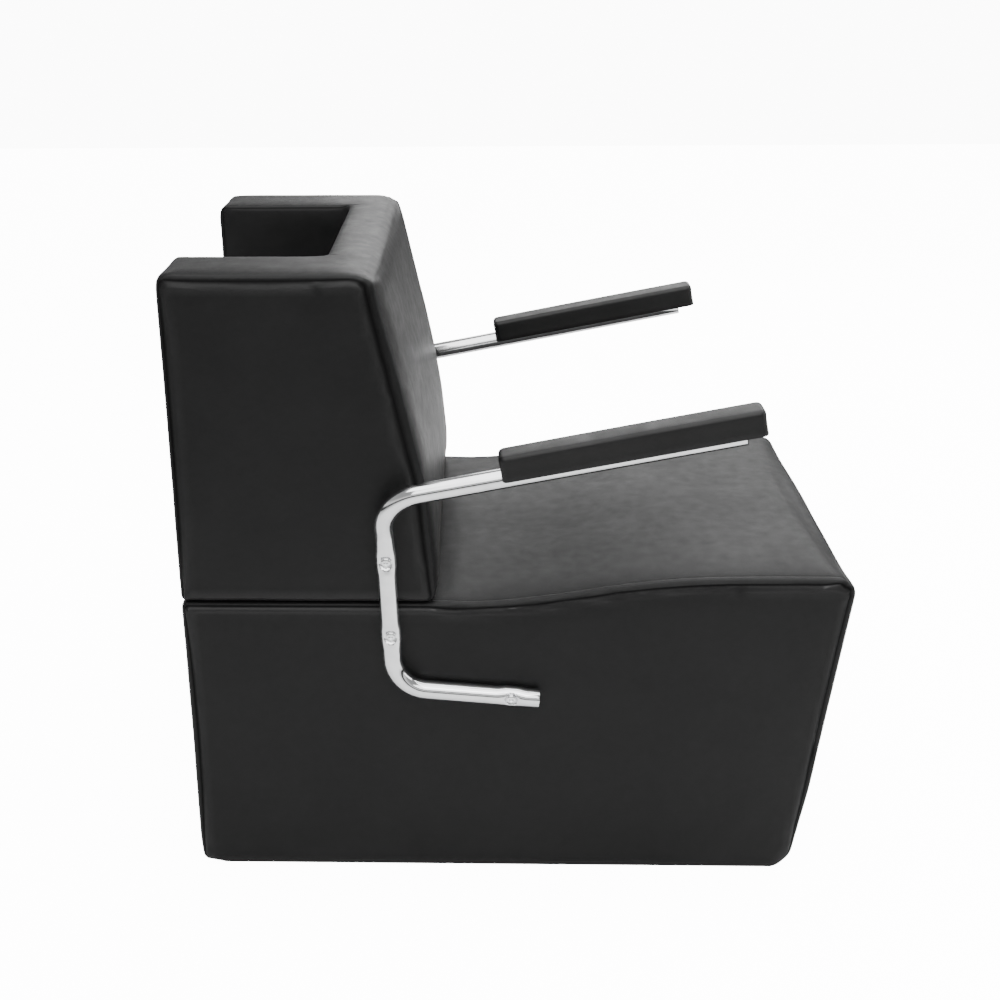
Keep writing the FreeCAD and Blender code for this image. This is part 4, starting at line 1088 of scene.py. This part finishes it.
# %% Sizes of the arm
TUBE, TUBE_WALL = 0.0127, 0.0016
FOOT_X = HALF + 0.0003 + TUBE
ARM_X = 0.321
ARM_SLOPE = math.radians(11)
CORNER = Vector((-ARM_X, 0.169, 0.5652))
HAND = Vector((-ARM_X, -0.272, 0.5652 + (0.169 + 0.272) * math.tan(ARM_SLOPE)))
FOOT = Vector((-FOOT_X, 0.1585, 0.2925))
RUN_LEAN = (CORNER.y - FOOT.y) / (CORNER.z - FOOT.z)
CRANK = Vector((-FOOT_X, FOOT.y + (0.507 - FOOT.z) * RUN_LEAN, 0.507))
TOE = Vector((-FOOT_X, -0.0316, FOOT.z - (FOOT.y + 0.0316) * math.tan(math.radians(4.7))))
ARM_BENDS = (0.055, 0.060, 0.048)
SEAT_OF_HEAD = -0.3073


def on_run(height):
    return Vector((-FOOT_X, FOOT.y + (height - FOOT.z) * RUN_LEAN, height))


TOE_BOLT = FOOT + (TOE - FOOT) * ((FOOT.y - 0.005) / (FOOT.y - TOE.y))
ARM_BOLTS = [on_run(0.4755), on_run(0.371), TOE_BOLT]
print("arm bolts at", [tuple(round(part, 4) for part in spot) for spot in ARM_BOLTS])


# %% Draw the right tube
FLAT_ACROSS, FLAT_BROAD, BLEND = 0.01195, 0.0138, 0.0205
STATIONS = (0.0015, 0.003, 0.0045, 0.006, 0.0072, 0.0084, 0.0096, 0.0115, 0.014, 0.0172, BLEND)


def ring_state(distance, centres):
    """The ring's scale across and along the flat, and how far its middle moves to the panel."""
    share = max([0.0] + [1 - float(ease(abs(distance - centre), 0.006, BLEND)) for centre in centres])
    across, broad = 1 + share * (FLAT_ACROSS / TUBE - 1), 1 + share * (FLAT_BROAD / TUBE - 1)
    return across, broad, share * (TUBE - FLAT_ACROSS)


def extrude_run(start, end, bolts):
    """Extrude the ring along a straight run, flattened a little about each bolt."""
    along = (end - start).normalized()
    length = (end - start).length
    centres = [(bolt - start).dot(along) for bolt in bolts]
    stops = {round(length * step / 8, 5) for step in range(1, 9)
             if all(abs(length * step / 8 - centre) > BLEND for centre in centres) or step == 8}
    for centre in centres:
        stops |= {round(centre + side * step, 5) for step in (0,) + STATIONS for side in (-1, 1)}
    reached, state = 0.0, (1, 1, 0)
    for stop in sorted(stop for stop in stops if 0.0004 < stop <= length + 0.00001):
        fresh = ring_state(stop, centres)
        extrude(along * (stop - reached))
        middle = start + along * stop + Vector((state[2], 0, 0))
        bpy.ops.transform.resize(value=(fresh[0] / state[0], fresh[1] / state[1], fresh[1] / state[1]),
                                 center_override=middle)
        bpy.ops.transform.translate(value=(fresh[2] - state[2], 0, 0))
        reached, state = stop, fresh


points = [HAND, CORNER, CRANK, FOOT, TOE]
run_bolts = {2: ARM_BOLTS[:2], 3: ARM_BOLTS[2:]}
nothing_selected()
first_way = (CORNER - HAND).normalized()
bpy.ops.mesh.primitive_circle_add(vertices=48, radius=TUBE, location=HAND,
                                  rotation=first_way.to_track_quat("Z", "X").to_euler())
arm = applied("chrome_arm_right")
edit(arm)
everything()
start = HAND
for index, end in enumerate(points[1:]):
    way = (end - start).normalized()
    last = index == len(points) - 2
    stop = end
    if not last:
        leave = (points[index + 2] - end).normalized()
        angle = way.angle(leave)
        stop = end - way * ARM_BENDS[index] * math.tan(angle / 2)
    extrude_run(start, stop, run_bolts.get(index, []))
    if not last:
        pivot = way.cross(leave).normalized()
        middle = stop + pivot.cross(way) * ARM_BENDS[index]
        steps = max(5, round(math.degrees(angle) / 5))
        bpy.ops.mesh.spin(steps=steps, angle=-angle, center=middle, axis=pivot)
        start = end + leave * ARM_BENDS[index] * math.tan(angle / 2)
bpy.ops.object.mode_set(mode="OBJECT")
print("tube drawn with", len(arm.data.polygons), "faces")


# %% Wall of the tube, and the left one
outward(arm)
spots = points_of(arm)
for bolt in ARM_BOLTS:
    off = np.hypot(spots[:, 1] - bolt.y, spots[:, 2] - bolt.z)
    share = (1 - ease(off, 0.0068, 0.0094)) * (spots[:, 0] < SEAT_OF_HEAD)
    spots[:, 0] += (SEAT_OF_HEAD - spots[:, 0]) * share
move_points(arm, spots)
wall = arm.modifiers.new("wall", "SOLIDIFY")
wall.thickness, wall.offset, wall.use_even_offset = TUBE_WALL, -1, True
lip = arm.modifiers.new("lip", "BEVEL")
lip.width, lip.segments, lip.limit_method, lip.angle_limit = 0.0003, 2, "ANGLE", math.radians(60)
apply_all(arm)
smooth(arm, 35)
other_arm = smooth(twin(arm, "chrome_arm_left"), 35)
dress(arm, chrome, "chrome_tube", "arm_tube_right")
dress(other_arm, chrome, "chrome_tube", "arm_tube_left")


def off_the_cad(piece, node):
    """How far the corners of a piece's box lie from those of its CAD node's."""
    low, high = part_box(node)
    spots = points_of(piece)
    return (spots.min(0) - np.array(low)).round(4), (spots.max(0) - np.array(high)).round(4)


print("tube box off the CAD by", *off_the_cad(arm, "arm_tube_right"))

# %% [markdown]
# ## Turned parts: bolts and screws
# A bolt is round, so it is drawn as half a profile and spun through a full turn. The doubled points on the
# axis are merged after that. A cross recess is cut into the head with a small tapered tool.


# %% Helpers for turned parts
def turned(name, profile, steps=32):
    """Spin a profile of (radius, height) points about the vertical axis at the origin."""
    piece = draw(name, [(radius, 0, height) for radius, height in profile])
    bpy.ops.mesh.spin(steps=steps, angle=2 * math.pi, center=(0, 0, 0), axis=(0, 0, 1))
    everything()
    bpy.ops.mesh.remove_doubles(threshold=0.000002)
    bpy.ops.mesh.normals_make_consistent(inside=False)
    return done(piece)


def stand(piece, spot, direction):
    """Turn a piece's own Z to a direction, move it to its place, and apply both."""
    turned_to = Vector(direction).to_track_quat("Z", "Y").to_matrix().to_4x4()
    only(piece).matrix_world = Matrix.Translation(spot) @ turned_to
    return applied()


def cross_tool(span, width, depth, top):
    """Two crossed wedges that narrow downwards, as a cross driver's point does."""
    blades = []
    for turn_by in (0, math.pi / 2):
        blade = block((0, 0, top - depth / 2 + 0.0002), (span, width, depth + 0.0004),
                      rotation=(0, 0, turn_by))
        edit(blade)
        pick(blade, "VERT", lambda spot: spot.z < top - depth / 2)
        bpy.ops.transform.resize(value=(0.45, 0.45, 1), center_override=(0, 0, top - depth))
        blades.append(done(blade))
    return combine(*blades, "UNION")


def threads(radius, start, end, pitch, depth):
    """Points of a thread's profile, from start down to end."""
    count = int((start - end) / pitch)
    profile = []
    for top in (start - turn_number * pitch for turn_number in range(count)):
        profile += [(radius - depth, top), (radius, top - pitch / 2)]
    return profile + [(radius - depth, start - count * pitch)]


# %% [markdown]
# ### Arm bolts
# Three pan-head bolts hold each arm. Their heads stand on the flats of the tube, and their lengths differ
# with the board that they go through, so the lengths are read from the imported model.

# %% Arm bolts
def head_profile(radius, height):
    """A domed head, from the middle of its top out to the rim of its bearing face."""
    shape = [(0, 1.0), (0.3, 0.995), (0.55, 0.965), (0.72, 0.9), (0.85, 0.78),
             (0.94, 0.58), (0.985, 0.34), (1, 0.12), (0.98, 0)]
    return [(radius * across, height * up) for across, up in shape]


def bolt_reach(height):
    """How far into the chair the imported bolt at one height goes."""
    spots = points_of(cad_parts["arm_bolts_right"])
    return float(spots[np.abs(spots[:, 2] - height) < 0.004][:, 0].max())


bolts = []
for spot in ARM_BOLTS:
    length = bolt_reach(spot.z) - SEAT_OF_HEAD
    shank = [(0.0031, 0), (0.0031, -0.008)] + threads(0.0031, -0.008, 0.003 - length, 0.00127, 0.0005)
    bolt = turned("arm_bolt", head_profile(0.00635, 0.0032) + shank + [(0.0021, -length), (0, -length)])
    combine(bolt, cross_tool(0.0064, 0.0017, 0.0019, 0.0032))
    stand(bolt, (SEAT_OF_HEAD, spot.y, spot.z), (-1, 0, 0))
    bolts.append(bolt)


def dress_pair(pieces, name, finish, slot, node):
    """Join one side's pieces, mirror them, and dress both sides."""
    right = smooth(joined(pieces, name + "right"), 30)
    left = smooth(twin(right, name + "left"), 30)
    dress(right, finish, slot, node + "right")
    dress(left, finish, slot, node + "left")
    print(right.name, "has", len(right.data.polygons), "faces")


dress_pair(bolts, "arm_bolts_of_", chrome, "chrome_bolts", "arm_bolts_")

# %% [markdown]
# ### Screws of the arm pads
# Each pad is held by two screws from below. The tube's lower wall has a wide hole for the driver, and the
# screw's head bears on the inside of the upper wall, so nothing stands out under the arm.

# %% Pad screws and their holes
ALONG = (CORNER - HAND).normalized()
ACROSS_ARM = Vector((0, math.sin(ARM_SLOPE), math.cos(ARM_SLOPE)))
UPPER_WALL = TUBE - TUBE_WALL
pad_screws = []
for back_by in (0.054, 0.234):
    spot = HAND + ALONG * back_by
    for side in (-1, 1):
        nothing_selected()
        bpy.ops.mesh.primitive_cylinder_add(vertices=32, radius=0.0052, depth=0.012)
        lower_wall = Vector((side * ARM_X, spot.y, spot.z)) - ACROSS_ARM * TUBE
        drill = stand(bpy.context.object, lower_wall, ACROSS_ARM)
        combine(arm if side < 0 else other_arm, drill)
    grip = [(0.0023, 0), (0.0023, -0.003)] + threads(0.0023, -0.003, -0.0105, 0.0016, 0.0006)
    screw = turned("pad_screw", head_profile(0.0045, 0.0026) + grip + [(0.0008, -0.0125), (0, -0.013)], 24)
    combine(screw, cross_tool(0.0046, 0.0013, 0.0015, 0.0026))
    pad_screws.append(stand(screw, spot + ACROSS_ARM * (UPPER_WALL - 0.0001), -ACROSS_ARM))
dress_pair(pad_screws, "pad_screws_of_", zinc_steel, "zinc_steel", "pad_screws_")
for tube in (arm, other_arm):
    smooth(tube, 35)
print("arm tube:", len(arm.data.polygons), "faces")

# %% [markdown]
# ## Arm pads
# The pads are moulded urethane, saddled over the tube. A block is rounded along its top edges and its
# upright corners, its lower rim is left nearly sharp, its top is crowned a little, and the tube's groove is
# cut into its underside. It is modelled level at the origin and then laid along the sloping arm.

# %% Arm pads
PAD_LONG, PAD_WIDE, PAD_THICK, PAD_LOW, OVERHANG = 0.323, 0.0434, 0.0333, 0.0007, 0.026
PAD_TOP = PAD_LOW + PAD_THICK
pad = block((0, 0, PAD_LOW + PAD_THICK / 2), (PAD_WIDE, PAD_LONG, PAD_THICK))
round_edges(pad, lambda a, b: near(a.x, b.x) and near(a.y, b.y), 0.0085, 6)
round_edges(pad, lambda a, b: near(a.z, PAD_TOP) and near(b.z, PAD_TOP), 0.0062, 6)
round_edges(pad, lambda a, b: near(a.z, PAD_LOW) and near(b.z, PAD_LOW), 0.0014, 2)
cut_grid(pad, (1, -0.150, 0.150, 0.0075), (0, -0.0155, 0.0155, 0.0052))
cut_across(pad, 2, [PAD_LOW + 0.008, PAD_LOW + 0.014, PAD_LOW + 0.02])
spots, normals = points_of(pad), normals_of(pad)
crown = (1 - (spots[:, 0] / (PAD_WIDE / 2)) ** 2) * 0.0006
crown += np.sin(np.pi * (spots[:, 1] / PAD_LONG + 0.5)) * 0.0003 - 0.0009
crown = crown * ease(spots[:, 2], PAD_LOW + 0.02, PAD_TOP)
waist = 0.0005 * np.sin(np.pi * np.clip((spots[:, 2] - PAD_LOW) / PAD_THICK, 0, 1))
waist *= np.abs(normals[:, 2]) < 0.5
move_points(pad, spots + np.outer(crown, (0, 0, 1)) - normals * waist[:, None])
nothing_selected()
bpy.ops.mesh.primitive_cylinder_add(vertices=48, radius=TUBE + 0.0003, depth=PAD_LONG,
                                    rotation=(math.pi / 2, 0, 0), location=(0, OVERHANG - 0.0015, 0))
combine(pad, applied("groove"))
pad_middle = HAND + ALONG * (PAD_LONG / 2 - OVERHANG)
only(pad).matrix_world = Matrix.Translation(pad_middle) @ Matrix.Rotation(-ARM_SLOPE, 4, "X")
outward(applied("arm_pad_of_right"))
other_pad = twin(pad, "arm_pad_of_left")
for piece, node in ((pad, "arm_pad_right"), (other_pad, "arm_pad_left")):
    dress(smooth(piece, 45), arm_pad_skin, "arm_pad_skin", node)
print("pad box off the CAD by", *off_the_cad(pad, "arm_pad_right"))

# %% [markdown]
# ## Dust cover
# A black non-woven cloth closes the base from below. It is one sheet, tacked tight with staples all round,
# and it dips a little between them. It is a grid with its corners trimmed, given its thickness at the end.

# %% Dust cover
low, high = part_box("dust_cover")
wide, deep = high[0] - low[0], high[1] - low[1]
middle = ((low[0] + high[0]) / 2, (low[1] + high[1]) / 2)
nothing_selected()
bpy.ops.mesh.primitive_grid_add(x_subdivisions=54, y_subdivisions=80, size=1,
                                location=(middle[0], middle[1], high[2] - 0.0001))
bpy.context.object.scale = (wide, deep, 1)
cloth = applied("dust_cover_cloth")
GLIDES = [(x, y) for x in (-0.255, 0.255) for y in (-0.3552, 0.404)]
edit(cloth)
pick(cloth, "FACE", lambda spot, normal: any(
    math.hypot(spot.x - x, spot.y - y) < 0.017 for x, y in GLIDES))
bpy.ops.mesh.delete(type="FACE")
done(cloth)
spots = points_of(cloth)
x, y = spots[:, 0], spots[:, 1]
edge = np.minimum.reduce([x - low[0], high[0] - x, y - low[1], high[1] - y])
spots[:, 2] -= 0.0009 * ease(edge, 0.01, 0.12)
spots[:, 2] -= 0.0002 * np.sin(x * 105) ** 2 * np.sin(y * 105) ** 2
move_points(cloth, spots)
thick = cloth.modifiers.new("cloth", "SOLIDIFY")
thick.thickness, thick.offset = 0.0005, 0
apply_all(cloth)
dress(smooth(cloth, 40), dust_fabric, "dust_fabric", "dust_cover")

# %% [markdown]
# ### Staples
# One staple is a flat wire with bent-down ends. It is modelled once and copied round the cloth.

# %% Staples
PLACES, CLEAR_OF_CORNER = 46, 0.04
staple = block((0, 0, 0), (0.0112, 0.0011, 0.0006))
edit(staple, "FACE")
everything()
bpy.ops.mesh.subdivide(number_cuts=4)
pick(staple, "FACE", lambda spot, normal: normal.z > 0.9 and abs(spot.x) > 0.0045)
extrude((0, 0, 0.0015))
done(staple)
staples = []
for share in range(PLACES):
    along = share / PLACES * 2 * (wide + deep)
    for length, start, way in ((wide, (low[0], low[1]), (1, 0)), (deep, (high[0], low[1]), (0, 1)),
                               (wide, (high[0], high[1]), (-1, 0)), (deep, (low[0], high[1]), (0, -1))):
        if along < length:
            break
        along -= length
    if min(along, length - along) < CLEAR_OF_CORNER:
        continue
    inward = Vector((-way[1], way[0], 0)) * 0.007
    one = copy_of(staple, "staple")
    tilt = 0.25 * math.sin(share * 2.4)
    spot = Vector((start[0] + way[0] * along, start[1] + way[1] * along, high[2] - 0.0006)) + inward
    angle = math.atan2(way[1], way[0]) + tilt
    one.matrix_world = Matrix.Translation(spot) @ Matrix.Rotation(angle, 4, "Z")
    staples.append(one)
bpy.data.objects.remove(staple)
dress(smooth(joined(staples, "dust_cover_staples"), 30), zinc_steel, "zinc_steel")
print("staples:", len(staples))

# %% Sizes and finish
low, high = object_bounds()
print("the dressed chair is", [round(side, 4) for side in high - low])
